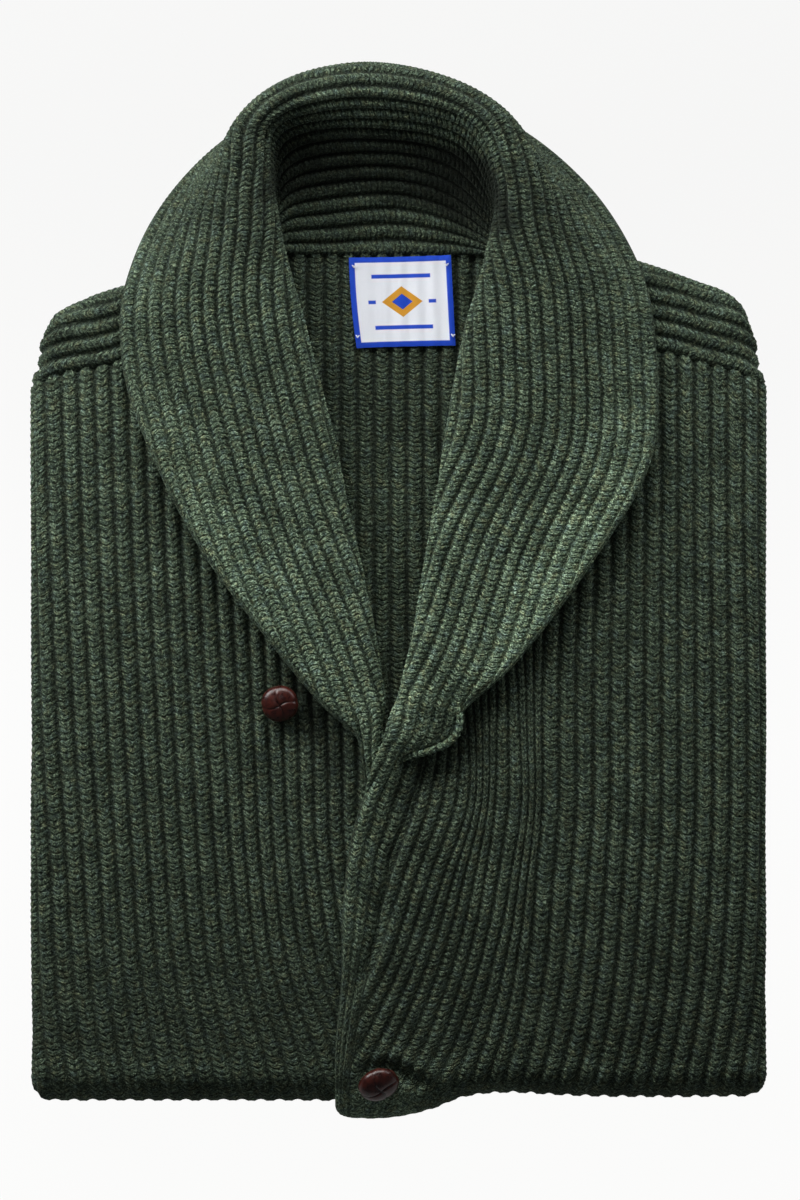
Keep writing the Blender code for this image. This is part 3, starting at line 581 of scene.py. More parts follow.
def tuck(grid):
    """Draw the first rows of a front down into its seam."""
    for k in range(TUCK_ROWS):
        grid[k, :, 2] -= SEAM_TUCK * (1 - k / TUCK_ROWS) ** 2
    return grid


def sway(x, y, seed):
    """Slight unevenness of cloth that lies flat, which ends before the middle and the edges."""
    across = ease((np.abs(x) - 36) / 30) * ease((HALF_WIDTH - 8 - np.abs(x)) / 20)
    inside = across * ease((y + 262) / 30)
    return 0.9 * ripple(x / 26, y / 60, seed) * inside * ease((140 - y) / 30)


def on_top(grid):
    """1 where a front lies on the stack, and 0 round its folds."""
    return ease((grid[..., 2] - 24) / 10)


def near_fold(y):
    """Share of a rib's depth that is left where the cloth turns round the fold at the bottom."""
    return 1 - 0.5 * ease((-264 - y) / 10)


def above_fold(y):
    return ease((262 + y) / 14)


def front_right_mesh():
    number, strip = rib_numbers(-5, 24)
    grid = front_grid(number, False, ROWS["front_right"])
    grid[..., 2] += sway(grid[..., 0], grid[..., 1], seed=73) * on_top(grid)
    x, y = grid[..., 0], grid[..., 1]
    strength = (0.95 - 0.20 * ease((-150 - y) / 80)) * near_fold(y)
    # Painted shadow beside the top button, under the lapel's edge, and painted shade towards the
    # bottom.
    painted_light = 1 - fold(x, y, BUTTON_SHADE, 11.5)
    painted_light = painted_light * (1 - 0.30 * ease((-150 - y) / 110) * above_fold(y))
    return knit_shell("knit_front_right", tuck(grid), number, strip, seed=11,
                      strength=strength, painted_light=painted_light)


def front_left_mesh():
    number, strip = rib_numbers(-5, 31)
    grid = front_grid(number, True, ROWS["front_left"])
    x, y = grid[..., 0], grid[..., 1]
    lift = sum(fold(x, y, line, width) for line, width in LAP_FOLDS)
    grid[..., 2] += (lift + sway(x, y, seed=71)) * on_top(grid)

    # The ribs lie flatter round the lower button, on the band and towards the bottom.
    px, py = BUTTONS["button_low"][0][:2]
    by_button = np.exp(-(np.hypot((x - px - 4) / 1.7, (y - py + 14) / 1.15) / 20) ** 2)
    band = ease((-135 - y) / 40) * (1 - ease((x - follow(BAND_LEFT, y) - 2) / 10))
    low = ease((-170 - y) / 60) * (1 - ease((x - 25) / 80))
    strength = 0.92 * (1 - 0.9 * by_button) * (1 - 0.25 * band) * (1 - 0.20 * low)

    # Painted light and shade: a painted highlight along the rolled edge, painted shadow under the
    # tab, painted shade towards the bottom and painted light at the low corner of the lap.
    rolled = np.exp(-((x - follow(EDGE_LEFT, y) - 7) / 8) ** 2) * ease((-70 - y) / 20)
    painted_light = 1 + rolled * (0.80 - 0.35 * ease((-112 - y) / 40) - 0.35 * ease((-205 - y) / 40))
    painted_light = painted_light * (1 - fold(x, y, TAB_SHADE, 11.0))
    painted_light = painted_light * (1 - 0.22 * ease((-160 - y) / 60) * above_fold(y))
    painted_light = painted_light + 1.3 * ease((-270 - y) / 8) * (1 - ease((x - 4) / 16))
    return knit_shell("knit_front_left", tuck(grid), number, strip, seed=23, thick=(1,),
                      strength=strength * near_fold(y), painted_light=painted_light)


def yoke_mesh(name, side, seam, shoulder, neck_x, seed):
    """A yoke from its neck end out to its side fold, with its ribs across the shoulder."""
    number, strip = rib_numbers(0, YOKE_RIBS)
    side_end = HALF_WIDTH - YOKE_TAPER - SIDE_ROLL + SIDE_ROLL * YOKE_WRAP
    stations = side * np.linspace(neck_x, side_end, ROWS["yoke"])
    k = np.arange(YOKE_RIBS + 1.0)
    valleys = []
    for u in stations:
        start, _, end, roll = yoke_shape(u, 0.0, seam, shoulder)
        length = end - start - roll + roll * YOKE_WRAP
        valleys.append(held(YOKE_PITCH * k - SEAM_LAP, -SEAM_LAP, length, k))
    w = between(np.array(valleys))
    u = stations[:, None] + 0 * w
    start, half_width, end, roll = yoke_shape(u, w, seam, shoulder)
    top = front_top(u, np.minimum(start + w, end))
    grid = wrapped(u, start + w, side, top, half_width, end, roll)
    # Painted light and shade: the yoke on the wearer's left is painted lighter than the one on the
    # right.
    return knit_shell(name, grid, number, strip, seed, turned=side < 0, strength=0.85,
                      painted_light=0.88 + 0.07 * side)


def back_mesh():
    number, strip = rib_numbers(0, BACK_RIBS)
    rows = np.linspace(BACK["y"][-1] + 6.0, BACK["y"][0], ROWS["back"])
    k = np.arange(BACK_RIBS + 1.0)
    places = between(np.array([
        held(BACK_PITCH * (k - 8.5), follow(BACK, y, "left"), follow(BACK, y, "right"), k)
        for y in rows]))
    y = rows[:, None] + 0 * places
    grid = np.stack([places, y, follow(BACK, y, "height")], axis=-1)
    # Painted shade: the back is painted darker towards the neck, where the collar shades it.
    painted_light = 1 + 0.40 * ease((110 - y) / 60)
    return knit_shell("knit_back", grid, number, strip, seed=37, painted_light=painted_light, stitch=BACK_STITCH)


def collar_mesh():
    """The shawl collar: sections from end to end, each with its ribs crowded towards the seam."""
    number, strip = rib_numbers(0, COLLAR_RIBS)
    coarse = np.linspace(0, len(COLLAR["first"]) - 1.0, 240)
    sections = np.array([collar_section(row)[0] for row in coarse])
    steps = np.linalg.norm(np.diff(sections[:, (0, 16, 32, 48)], axis=0), axis=-1).max(axis=1)
    run = np.concatenate([[0], np.cumsum(steps)])
    grid = []
    for row in np.interp(np.linspace(0, run[-1], ROWS["collar"]), run, coarse):
        section, crowd_from, first = collar_section(row)
        length = run_of(section)[-1]
        gap = min(RIB_GAP, length / (8.0 * COLLAR_RIBS))
        k = np.arange(COLLAR_RIBS + 1.0)
        round_neck = ease((row - 9) / 1.2) * ease((13 - row) / 1.2) * ease((k - 11) / 3)
        uneven = 1.3 * ripple(row * 3.4, k * 0.55, seed=91) * round_neck
        valleys = crowd((k - first) * COLLAR_PITCH, crowd_from, length) + uneven
        grid.append(along(section, between(held(valleys, 0.0, length, k, gap))))
    grid = np.array(grid)
    arc = np.cumsum(np.linalg.norm(np.diff(grid, axis=1, prepend=grid[:, :1]), axis=-1), axis=1)
    share = arc / arc[:, -1:]
    x, y = grid[..., 0], grid[..., 1]

    # The ribs lie flatter along the free edge, on the lapels and most of all on the tab.
    lapel, neck = 1 - ease((y - 150) / 60), ease((y - 150) / 70)
    tab = 1 - ease((y + 86) / 34)
    strength = (0.82 + 0.18 * ease((arc - 12) / 26)) * (1 - 0.06 * lapel)
    strength = strength * (1 - 0.30 * tab * (x > -9))

    # Painted light: the wool is painted lighter low on the lapels, more so on the left one and at
    # the free edge, and painted shade darkens the tab's recess.
    low_lapel, on_left = 1 - ease((y + 10) / 150), ease((x + 8) / 16)
    at_edge = 1 - ease((arc - 14) / 44)
    painted_light = 1.14 + low_lapel * (0.50 + 0.30 * on_left + (0.40 + 0.30 * on_left) * at_edge)
    painted_light = painted_light * (1 - fold(x, y, TAB_RECESS, 4.2))

    # Round the neck, painted shadow in the hollow under the roll, a painted highlight on the lip
    # over it, and painted shade along the seam.
    low, high, shade = (follow(HOLLOW, x, name) for name in ("low", "high", "shade"))
    stand = ease((share - 0.52) / 0.12) * neck
    hollow = ease((y - low + 5) / 12) * ease((high - y + 5) / 10) * shade
    lip_highlight = ease((share - 0.40) / 0.05) * ease((y - high + 8) / 10) * neck
    painted_light = painted_light * (1 - 0.42 * neck) * (1 - stand * hollow) * (1 + 0.6 * lip_highlight)
    painted_light = painted_light * (1 - 0.55 * lapel * ease((share - 0.90) / 0.05))
    return knit_shell("knit_collar", grid, number, strip, seed=53, lean=LAPEL_LEAN, turned=True,
                      strength=strength, peak=0.8, thick=(1, 0), painted_light=painted_light, stitch=COLLAR_STITCH)


def welt_mesh():
    """The cast-off edge round the end of the collar, as one raised row of stitches."""
    last = len(WELT_LINE) - 1
    t = np.linspace(0, last, 70)
    centre = np.column_stack([curve(t, np.arange(last + 1.0), places) for places in WELT_LINE.T])
    z = front_top(*centre.T) + lap(*centre.T) + np.interp(t, *WELT_HEIGHT)
    ahead = unit(np.gradient(centre, axis=0))
    outward = np.column_stack([-ahead[:, 1], ahead[:, 0]])
    taper = np.minimum(1.0, np.minimum(t / 1.2, (last - t) / 1.2)) ** 0.6
    turn = np.linspace(0, math.tau, WELT_SIDES + 1)
    stitches = (run_of(centre) / STITCH)[:, None]
    bulge = 1 + 0.12 * np.cos(math.tau * (stitches + 0.45 * np.abs(np.cos(turn))[None, :]))
    radius = WELT_RADIUS * taper[:, None] * bulge
    flat = centre[:, None, :] + outward[:, None, :] * (radius * np.cos(turn))[..., None]
    points = np.concatenate([flat, (z[:, None] + radius * np.sin(turn))[..., None]], axis=-1)
    # Painted highlight: the welt's wool is painted two and a half times as light, over shallow ribs.
    shade_and_depth = np.broadcast_to(np.array([2.5, 0.2]), (*radius.shape, 2))
    strip = np.zeros(WELT_SIDES + 1, dtype=int)
    return knit_mesh("collar_welt", points, 0.5 + np.cos(turn) * 0.42, strip, stitches, shade_and_depth, True)


def stack_top(x, y):
    """Height of the hidden stack: under the fronts, and lower under the back in the opening."""
    under_fronts = front_top(x, y) - WALL - LAY_GAP
    under_back = np.minimum(follow(BACK, y, "height") - WALL - LAY_GAP, under_fronts)
    left, right = follow(BACK, y, "left"), follow(BACK, y, "right")
    inside = 1 - ease((np.abs(x - (left + right) / 2) - (right - left) / 2 - 6) / 30)
    inside = inside * ease((y - BACK["y"][0] + 44) / 36)
    return under_fronts + (under_back - under_fronts - 0.7) * inside


def stack_outline():
    """Outline of the folded layers from above, clockwise from the wearer's right low corner."""
    round_off = 24.0
    low, edge = round_off - FRONT_BOTTOM, HALF_WIDTH - round_off
    arc = [(round_off * math.sin(a), round_off * math.cos(a))
           for a in np.linspace(0, math.pi / 2, 5)]
    right_corner = [(-edge - across, low - down) for across, down in arc]
    left_corner = [(edge + across, low + 3 - down) for down, across in arc]
    side = np.linspace(low + 30, 112, 7)
    right_side = [(-HALF_WIDTH, y) for y in side]
    right_side += [(2.2 - HALF_WIDTH, 126), (5.8 - HALF_WIDTH, 139)]
    left_side = [(HALF_WIDTH - 7.2, 141.5), (HALF_WIDTH - 2.9, 128)]
    left_side += [(HALF_WIDTH, y) for y in side[::-1]]
    right_shoulder, left_shoulder = (
        [(x, float(follow(shoulder, x)) - 0.4) for x in places] for shoulder, places in (
            (SHOULDER_RIGHT, (-189, -180, -170, -157, -143, -127, -110, -92, -75)),
            (SHOULDER_LEFT, (60, 78, 96, 114, 131, 148, 163, 176, 186.5))))
    neck = [(-58, 183.2), (-38, 183.5), (-14, 183.5), (10, 183.8), (34, 184.2)]
    bottom = [(x, -min(FRONT_BOTTOM, float(follow(BOTTOM_LEFT, x))))
              for x in (170, 140, 110, 90, 75, 60, 45, 30, 10)]
    bottom += [(x, -FRONT_BOTTOM) for x in (-20, -60, -110, -160)]
    return np.array(right_corner + right_side + right_shoulder + neck + left_shoulder + left_side
                    + left_corner + bottom + right_corner[:1])


def stack_mesh():
    """The folded layers under the fronts, with their ribs round the bottom fold."""
    outline = stack_outline()
    loop = along(outline, np.linspace(0, run_of(outline)[-1], STACK_POINTS + 1)[:-1])
    tangent = unit(np.roll(loop, -2, axis=0) - np.roll(loop, 2, axis=0))
    inward = np.stack([tangent[:, 1], -tangent[:, 0]], axis=-1)
    lowness = ease((inward[:, 1] - 0.25) / 0.6)
    heights = np.linspace(0, STACK["z"][-1], 44)
    side, corner, bottom = (np.interp(heights, STACK["z"], STACK[k])[:, None]
                            for k in ("side", "corner", "bottom"))
    insets = side * (1 - lowness) ** 2 + 2 * corner * lowness * (1 - lowness) + bottom * lowness ** 2
    rim = loop + inward * insets[-1][:, None]
    squash = np.minimum(1.0, stack_top(*rim.T) / (STACK["z"][-1] + 1.0))
    ribs = 0.25 + 0.35 * np.cos(math.tau * loop[:, 0] / 9.6) * lowness
    rings = [np.column_stack([loop + inward * (inset + ribs)[:, None], z * squash])
             for z, inset in zip(heights, insets)]
    rings += [np.column_stack([rim * shrink, stack_top(*(rim * shrink).T) - 0.3])
              for shrink in STACK_SHRINK]

    bm = bmesh.new()
    verts = [[bm.verts.new(Vector(p * MM)) for p in ring] for ring in rings]
    uv = bm.loops.layers.uv.new("knit")
    for r, (lower, upper) in enumerate(zip(verts, verts[1:])):
        for k in range(STACK_POINTS):
            after = (k + 1) % STACK_POINTS
            face = bm.faces.new((lower[k], lower[after], upper[after], upper[k]))
            for spot, (a, b) in zip(face.loops, ((r, k), (r, k + 1), (r + 1, k + 1), (r + 1, k))):
                spot[uv].uv = (a * 0.08, b * 3.2 / STITCH)
    bm.faces.new(verts[0])
    bm.faces.new(verts[-1])
    bmesh.ops.recalc_face_normals(bm, faces=bm.faces)
    mesh = mesh_of("layers", bm)
    mark(mesh, SHADE_AND_DEPTH[0], np.ones(len(mesh.vertices)))
    return mesh


def turning(*angles):
    """Matrix that turns a shape about X, Y and Z in turn, by angles in degrees."""
    return Euler([math.radians(angle) for angle in angles]).to_matrix()


def put(bm, verts, turn, place):
    """Turn points about the origin, and move them to their place."""
    bmesh.ops.rotate(bm, cent=(0, 0, 0), matrix=turn, verts=verts)
    bmesh.ops.translate(bm, vec=place, verts=verts)


def button_mesh(name):
    """A domed leather button of four leather strips that cross at its top, on its shank."""
    place, tilt, turn, scale = BUTTONS[name]
    knots = np.arange(len(BUTTON_OUTLINE["radius"]), dtype=float)
    fine = np.concatenate([np.arange(0, 4, 1.0), np.linspace(4, knots[-1], 20)])
    radii, heights = (curve(fine, knots, BUTTON_OUTLINE[k]) for k in ("radius", "height"))
    radii = np.maximum(radii, 0) * (fine < knots[-1])
    bm = bmesh.new()
    outline = [bm.verts.new((float(r) * MM, 0, float(h) * MM)) for r, h in zip(radii, heights)]
    edges = [bm.edges.new(pair) for pair in zip(outline, outline[1:])]
    bmesh.ops.spin(bm, geom=outline + edges, cent=(0, 0, 0), axis=(0, 0, 1), angle=math.tau,
                   steps=96, use_merge=True)
    bmesh.ops.remove_doubles(bm, verts=bm.verts, dist=1e-6)
    bmesh.ops.recalc_face_normals(bm, faces=bm.faces)
    seam = bm.verts.layers.float.new("seam")
    for vert in bm.verts:
        x, y, z = vert.co / MM
        if z < SHANK_TOP:
            continue
        r = math.hypot(x, y)
        angle = math.atan2(y, x) + STRIP_TWIST * r
        quarter = (angle / (math.pi / 2)) % 1.0
        near = min(quarter, 1 - quarter) * (math.pi / 2) * max(r, 0.6)
        groove = math.exp(-(near / 0.42) ** 2) * (1 - 0.55 * min(1.0, r / 9.5))
        lift = 0.30 * (quarter - 0.5) * min(1.0, r / 2.5)
        puff = 0.25 * math.sin(math.pi * quarter) * min(1.0, r / 4)
        out = Vector((x, y, max(z - 1.0, 0.5))).normalized()
        vert.co += out * (lift + puff - 0.55 * groove) * MM
        vert[seam] = groove
    bmesh.ops.scale(bm, vec=Vector((scale,) * 3), verts=bm.verts)
    put(bm, bm.verts, turning(*tilt) @ turning(0, 0, turn), Vector(place) * MM)
    return mesh_of("leather_" + name, bm)


def label_mesh():
    """The woven label, which lies in soft waves on the ribs of the back."""
    width, length, thick = LABEL_SIZE
    bm = bmesh.new()
    bmesh.ops.create_grid(bm, x_segments=60, y_segments=52, size=1.0)
    uv = bm.loops.layers.uv.new("label")
    for face in bm.faces:
        for corner in face.loops:
            corner[uv].uv = ((corner.vert.co.x + 1) / 2, (corner.vert.co.y + 1) / 2)
    for vert in bm.verts:
        x, y = vert.co.x, vert.co.y
        px, py = x * width / 2, y * length / 2
        px += 3.0 * (1 - x) * (1 - y) / 4 - 1.2 * (1 + x) * (1 + y) / 4
        px += 0.8 * (1 - x) / 2 * (y * y - 1)
        py *= 1 - 0.010 * (1 - x * x)
        wave = 0.30 * math.cos(px * math.tau / BACK_PITCH + 0.6)
        edge = max(0, max(abs(x), abs(y)) - 0.93) / 0.07
        vert.co = Vector((px, py, 0.55 + wave - 0.35 * edge)) * MM
    bmesh.ops.solidify(bm, geom=bm.faces[:], thickness=thick * MM)
    bmesh.ops.recalc_face_normals(bm, faces=bm.faces)
    put(bm, bm.verts, turning(*LABEL_TURN), Vector(LABEL_PLACE) * MM)
    mesh = mesh_of("label", bm)
    mesh.set_sharp_from_angle(angle=math.radians(50))
    return mesh


def tacks_mesh():
    """Four white tacks of thread that hold the label's corners, each of two small stitches."""
    bm = bmesh.new()
    for x, y in LABEL_TACKS:
        for turn, shift in TACK_STITCHES:
            stitch = bmesh.ops.create_uvsphere(bm, u_segments=16, v_segments=10, radius=1.0)["verts"]
            bmesh.ops.scale(bm, vec=Vector(TACK_SIZE), verts=stitch)
            put(bm, stitch, turning(0, 0, turn), Vector((x + shift, y, TACK_HEIGHT)))
    put(bm, bm.verts, turning(*LABEL_TURN), Vector(LABEL_PLACE))
    bmesh.ops.scale(bm, vec=Vector((MM, MM, MM)), verts=bm.verts)
    return mesh_of("tacks", bm)


# ---- finishes ------------------------------------------------------------------------------------
def feed(tree, socket, value):
    """Link a value to a socket, or set the socket to it."""
    if isinstance(value, bpy.types.NodeSocket):
        tree.links.new(value, socket)
    else:
        socket.default_value = value


def node(tree, kind, inputs=(), **settings):
    """A new shader node with its settings, and its inputs by name or number."""
    made = tree.nodes.new("ShaderNode" + kind)
    for name, value in settings.items():
        setattr(made, name, value)
    for key, value in dict(inputs).items():
        feed(tree, made.inputs[key], value)
    return made


def calc(tree, operation, *values):
    return node(tree, "Math", enumerate(values), operation=operation).outputs[0]


def sums(tree):
    """The sums that a tree uses most: product, product and sum, sum, and difference."""
    return [partial(calc, tree, name) for name in ("MULTIPLY", "MULTIPLY_ADD", "ADD", "SUBTRACT")]


def rise(tree, value, low, high, start=0.0, end=1.0):
    """Smooth change from start to end as a value goes from low to high."""
    inputs = {"Value": value, "From Min": low, "From Max": high, "To Min": start, "To Max": end}
    return node(tree, "MapRange", inputs, interpolation_type="SMOOTHSTEP").outputs["Result"]


def blend(tree, share, first, second, mode="MIX"):
    """Mix of two colours, by a share of the second."""
    first, second = (colour if isinstance(colour, bpy.types.NodeSocket) else (*colour, 1.0)
                     for colour in (first, second))
    return node(tree, "Mix", {"Factor": share, 6: first, 7: second}, data_type="RGBA",
                blend_type=mode, clamp_factor=True).outputs[2]


def noise(tree, place, scale, detail=2.0, roughness=0.5):
    inputs = {"Vector": place, "Scale": scale, "Detail": detail, "Roughness": roughness}
    return node(tree, "TexNoise", inputs).outputs[0]


def vector(tree, *values):
    return node(tree, "CombineXYZ", enumerate(values)).outputs[0]


def object_place(tree):
    return node(tree, "TexCoord").outputs["Object"]


def marked(tree, kind):
    """The number that each point of a mesh was given by this name."""
    return node(tree, "Attribute", attribute_name=kind).outputs["Fac"]


def new_group(name, inputs, outputs):
    """A node group with named sockets of each kind, where its inputs come in and outputs leave."""
    group = bpy.data.node_groups.new(name, "ShaderNodeTree")
    for in_out, sockets in (("INPUT", inputs), ("OUTPUT", outputs)):
        for label, kind in sockets.items():
            group.interface.new_socket(name=label, in_out=in_out, socket_type="NodeSocket" + kind)
    given, made = group.nodes.new("NodeGroupInput"), group.nodes.new("NodeGroupOutput")
    return group, given.outputs, made.inputs


def new_material(name, settings):
    """A material, its node tree and its shader's sockets, with what is the same all over."""
    made = bpy.data.materials.new(name)
    made.use_nodes = True
    surface = made.node_tree.nodes["Principled BSDF"].inputs
    for socket, value in settings.items():
        surface[socket].default_value = value
    return made, made.node_tree, surface


def emboss(tree, surface, height, strength, distance):
    """Relief of a surface, from a height."""
    inputs = {"Strength": strength, "Distance": distance, "Height": height}
    feed(tree, surface["Normal"], node(tree, "Bump", inputs).outputs[0])


def stitch_group():
    """Stitches of a rib: rounded arms of two plies, their strands, and painted shade between ribs,
    between arms and at a rib's middle.
    """
    group, given, made = new_group(
        "rib stitches",
        {"Knit": "Vector", "Place": "Vector", "Lean": "Float", "Valley": "Float", "Depth": "Float"},
        {"Height": "Float", "Painted Shading": "Float", "Strand": "Float"})
    times, scaled, plus, less = sums(group)
    knit = node(group, "SeparateXYZ", {0: given["Knit"]}).outputs
    stray = less(noise(group, given["Place"], 300.0, 1.0, 0.6), 0.5)
    u, v = scaled(stray, 0.30, knit[0]), scaled(stray, 0.7, knit[1])
    side = less(calc(group, "FRACT", u), 0.5)
    off = calc(group, "SQRT", scaled(side, side, 0.004))

    # An arm rises off the middle of its rib. It is round across, and has two plies.
    climb = plus(scaled(off, times(given["Lean"], ARM_LEAN), v), 0.5)
    across = scaled(calc(group, "FRACT", climb), 2.0, -1.0)
    arm = less(1.0, times(across, across))
    ply = scaled(calc(group, "COSINE", times(climb, 2 * math.tau)), -0.5, 0.5)
    lane = scaled(calc(group, "FLOOR", u), 5.3, times(calc(group, "SIGN", side), 1.7))
    strand = noise(group, vector(group, times(off, 5.0), times(climb, 4.2), lane), 1.0, 2.0, 0.75)

    # A rib's side is scalloped by its arms, with painted shade in the valley below it, and a little
    # painted shade at its middle and between its arms.
    scallop = plus(scaled(arm, -0.11, off), 0.05)
    on_rib = rise(group, scallop, RIB_SIDE, less(RIB_SIDE, given["Valley"]))
    hidden = times(less(1.0, on_rib), given["Depth"])
    painted_shading = times(less(1.0, times(hidden, 0.72)), rise(group, off, 0.04, 0.19, 0.62, 1.0))
    yarn = scaled(arm, 0.8, times(ply, 0.2))
    feed(group, made["Height"], scaled(strand, 0.7, times(yarn, on_rib)))
    feed(group, made["Painted Shading"], times(painted_shading, scaled(yarn, 0.52, 0.60)))
    feed(group, made["Strand"], strand)
    return group


def yarn_group():
    """Colours of marled wool: dark green with lighter, olive and teal fibres spun in."""
    group, given, made = new_group(
        "marled yarn",
        {"Place": "Vector", "Strand": "Float", **dict.fromkeys(WOOL_COLOURS, "Color")},
        {"Color": "Color", "Fibre": "Float"})
    times, scaled, _, less = sums(group)
    speck, drift, tint = (noise(group, given["Place"], scale, detail, roughness)
                          for scale, detail, roughness in YARN_NOISE)
    value = scaled(given["Strand"], 0.76, times(speck, 0.69))
    value = scaled(drift, 0.14, value)
    colour = blend(group, rise(group, value, 0.56, 0.84), given["Dark"], given["Green"])
    colour = blend(group, rise(group, value, 0.76, 1.06), colour, given["Light"])
    shade = node(group, "RGBToBW", {0: colour}).outputs[0]
    tinted = blend(group, rise(group, tint, 0.42, 0.58), given["Teal"], given["Olive"])
    tinted = blend(group, 1.0, vector(group, shade, shade, shade), tinted, "MULTIPLY")
    far = calc(group, "ABSOLUTE", less(tint, 0.5))
    feed(group, made["Color"], blend(group, rise(group, far, 0.02, 0.17, 0.0, 0.75), colour, tinted))
    feed(group, made["Fibre"], speck)
    return group


STITCHES = stitch_group()
YARN = yarn_group()


def wool(name, lean=1.0, painted_brightness=1.0, valley=0.22):
    """Ribbed knit in marled dark green wool, its colour scaled by painted light and shade."""
    made, tree, surface = new_material(name, {
        "Roughness": 0.95, "Specular IOR Level": 0.15, "Sheen Weight": 0.06,
        "Sheen Roughness": 0.6, "Sheen Tint": (0.70, 0.90, 0.68, 1)})
    place = object_place(tree)
    painted_light, depth = (marked(tree, kind) for kind in SHADE_AND_DEPTH)
    knit = node(tree, "Group", {
        "Knit": node(tree, "UVMap", uv_map="knit").outputs[0], "Place": place, "Depth": depth,
        "Lean": lean, "Valley": valley}, node_tree=STITCHES).outputs
    yarn = node(tree, "Group", {
        "Place": place, "Strand": knit["Strand"],
        **{dye: (*colour, 1) for dye, colour in WOOL_COLOURS.items()}}, node_tree=YARN).outputs
    times, scaled, _, _ = sums(tree)
    # Painted light and shade: the valleys' painted shade, each point's painted light and the
    # material's painted brightness scale the yarn's colour.
    painted_shading = times(times(knit["Painted Shading"], painted_light), painted_brightness)
    colour = blend(tree, 1.0, yarn["Color"], vector(tree, painted_shading, painted_shading, painted_shading), "MULTIPLY")
    feed(tree, surface["Base Color"], colour)
    emboss(tree, surface, scaled(yarn["Fibre"], 1.1, knit["Height"]), 1.0, 0.0009)
    return made


def leather():
    """Dark red-brown leather with a fine grain, nearly black in its seams."""
    made, tree, surface = new_material("brown_leather", {
        "Specular IOR Level": 0.32, "Coat Weight": 0.30, "Coat Roughness": 0.10})
    place = object_place(tree)
    cloud = noise(tree, place, 320.0, 4.0, 0.6)
    colour = blend(tree, rise(tree, cloud, 0.35, 0.7), LEATHER["dark"], LEATHER["light"])
    in_seam = rise(tree, marked(tree, "seam"), 0.25, 0.9)
    feed(tree, surface["Base Color"], blend(tree, in_seam, colour, LEATHER["seam"]))
    feed(tree, surface["Roughness"], rise(tree, cloud, 0.3, 0.7, 0.25, 0.38))
    grain = node(tree, "TexVoronoi", {"Scale": 1700.0, "Vector": place}, feature="DISTANCE_TO_EDGE")
    emboss(tree, surface, grain.outputs["Distance"], 0.25, 0.0002)
    return made


def label_weave():
    """White satin with a blue border and a plain ochre lozenge between blue bars."""
    made, tree, surface = new_material("label_weave", {"Roughness": 0.70, "Specular IOR Level": 0.2})
    times, _, plus, less = sums(tree)
    uv = node(tree, "SeparateXYZ", {0: node(tree, "UVMap", uv_map="label").outputs[0]}).outputs
    x, y = (times(less(uv[k], 0.5), LABEL_SIZE[k]) for k in (0, 1))
    across, up = calc(tree, "ABSOLUTE", x), calc(tree, "ABSOLUTE", y)

    def box(a, half_a, b, half_b):
        """Distance outside a box of these half widths, and less than nought inside it."""
        return calc(tree, "MAXIMUM", less(a, half_a), less(b, half_b))

    def away(a, middle):
        return calc(tree, "ABSOLUTE", less(a, middle))

    # A lozenge and its middle, a bar above and below it, and a tick at each side.
    colour = LABEL_WHITE
    slant = plus(times(across, 0.75), up)
    for distance, ink in ((less(slant, 8.6), LABEL_OCHRE), (less(slant, 4.4), LABEL_BLUE),
                          (box(away(up, 14.2), 1.1, across, 16.5), LABEL_BLUE),
                          (box(away(across, 17.0), 2.1, up, 1.0), LABEL_BLUE)):
        colour = blend(tree, rise(tree, distance, 0.25, -0.25), colour, ink)
    border = box(across, LABEL_SIZE[0] / 2 - 3.2, up, LABEL_SIZE[1] / 2 - 3.0)
    colour = blend(tree, rise(tree, border, -0.25, 0.25), colour, LABEL_BLUE)
    weave = times(calc(tree, "SINE", times(y, 14.0)), calc(tree, "SINE", times(x, 11.0)))
    colour = blend(tree, rise(tree, weave, -1.0, 1.0, 0.10, 0.0), colour, LABEL_SHADE)
    feed(tree, surface["Base Color"], colour)
    emboss(tree, surface, weave, 0.35, 0.0002)
    return made


def tack_thread():
    """White cotton thread, twisted."""
    made, tree, surface = new_material("tack_thread", {"Roughness": 0.75})
    fibre = rise(tree, noise(tree, object_place(tree), 2600.0, 1.0), 0.35, 0.65)
    feed(tree, surface["Base Color"], blend(tree, fibre, (0.55, 0.58, 0.64), (0.86, 0.88, 0.92)))
    return made


# ---- the studio ----------------------------------------------------------------------------------
def in_scene(name, data):
    """A new object in the scene."""
    made = bpy.data.objects.new(name, data)
    bpy.context.scene.collection.objects.link(made)
    return made


def seen(tree, unseen_value, seen_value):
    """One value for what the camera sees, and another for the light that it gives."""
    camera_ray = node(tree, "LightPath").outputs["Is Camera Ray"]
    return rise(tree, camera_ray, 0.0, 1.0, unseen_value, seen_value)


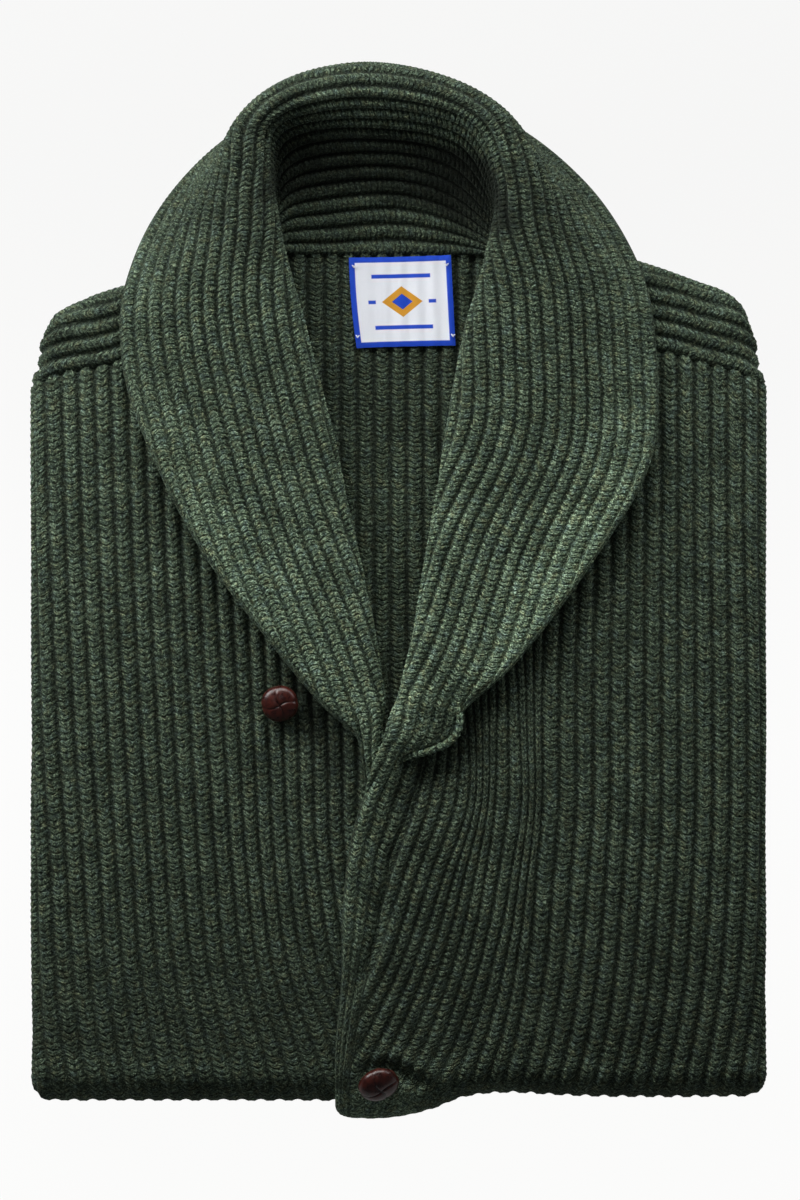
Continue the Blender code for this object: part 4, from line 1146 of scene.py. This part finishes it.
def studio():
    """A pale floor and sky, soft lamps, and the camera straight above."""
    world = bpy.data.worlds.new("studio")
    bpy.context.scene.world = world
    world.use_nodes = True
    sky = world.node_tree.nodes["Background"].inputs
    sky["Color"].default_value = (0.96, 0.97, 1.0, 1)
    feed(world.node_tree, sky["Strength"], seen(world.node_tree, 0.08, 0.93))

    bm = bmesh.new()
    bmesh.ops.create_grid(bm, x_segments=2, y_segments=2, size=FLOOR_SIZE / 2)
    floor = in_scene("floor", mesh_of("floor", bm))
    paper, tree, surface = new_material("paper", {
        "Base Color": (0.02, 0.02, 0.02, 1), "Roughness": 1.0, "Specular IOR Level": 0.0,
        "Emission Color": (0.97, 0.97, 0.965, 1)})
    place = node(tree, "SeparateXYZ", {0: object_place(tree)}).outputs
    glow = rise(tree, place[1], 0.28, -0.10, 0.925, 0.990)    # painted shade: the floor's glow is a little darker towards the neck
    feed(tree, surface["Emission Strength"], seen(tree, 0.30, glow))
    floor.data.materials.append(paper)

    for name, place, aim, size, power, colour in LAMPS:
        light = bpy.data.lights.new(name, "AREA")
        light.shape, light.energy, light.color = "RECTANGLE", power, colour
        light.size, light.size_y = size
        lamp = in_scene(name, light)
        lamp.location = place
        lamp.rotation_euler = (Vector(aim) - Vector(place)).to_track_quat("-Z", "Y").to_euler()

    lens = bpy.data.cameras.new("camera")
    lens.sensor_fit, lens.sensor_height = "VERTICAL", 24.0
    lens.lens = lens.sensor_height * CAMERA_DISTANCE / VIEW_HEIGHT
    lens.clip_end = 50.0
    camera = in_scene("camera", lens)
    camera.location = Vector(VIEW_MIDDLE) + Vector((0, 0, CAMERA_DISTANCE))
    bpy.context.scene.camera = camera
    bpy.context.scene.view_settings.view_transform = "Standard"


# ---- assembly ------------------------------------------------------------------------------------
def add_piece(name, mesh, finish, slot, *nodes):
    """Put a finished mesh in the scene in place of the model's nodes."""
    mesh.materials.append(finish)
    piece = in_scene(name, mesh)
    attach(piece, "root")
    if nodes:
        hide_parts(*nodes)
    return piece


def build():
    """Make each piece in place of the model's."""
    # Lit and shaded copies of one wool, by painted brightness: a little darker on the fronts, darker
    # on the yokes, and darkest for the inside of the back, which lies in the collar's shade.
    fronts = wool("wool_fronts", painted_brightness=0.95)
    yokes = wool("wool_yokes", painted_brightness=0.90)
    inside = wool("wool_inside", painted_brightness=0.74)
    lapels = wool("wool_collar", LAPEL_LEAN, valley=0.18)
    hide = leather()

    add_piece("layers", stack_mesh(), fronts, "wool_fronts", "folded_layers")
    back = add_piece("knit_back", back_mesh(), inside, "wool_inside", "back_panel")
    right = add_piece("knit_front_right", front_right_mesh(), fronts, "wool_fronts", "front_right")
    left = add_piece("knit_front_left", front_left_mesh(), fronts, "wool_fronts", "front_left")
    yoke_right, yoke_left = (
        add_piece("knit_" + name, yoke_mesh("knit_" + name, *shape), yokes, "wool_yokes", name)
        for name, *shape in (("yoke_right", -1, SEAM_RIGHT, SHOULDER_RIGHT, 78.0, 61),
                             ("yoke_left", 1, SEAM_LEFT, SHOULDER_LEFT, 62.0, 67)))
    collar = add_piece("knit_collar", collar_mesh(), lapels, "wool_collar", "shawl_collar")
    add_piece("collar_welt", welt_mesh(), lapels, "wool_collar")
    label = add_piece("woven_label", label_mesh(), label_weave(), "label_weave", "label")
    add_piece("label_tacks", tacks_mesh(), tack_thread(), "label_weave")
    for name in BUTTONS:
        add_piece("leather_" + name, button_mesh(name), hide, "button_leather", name)


build()
studio()
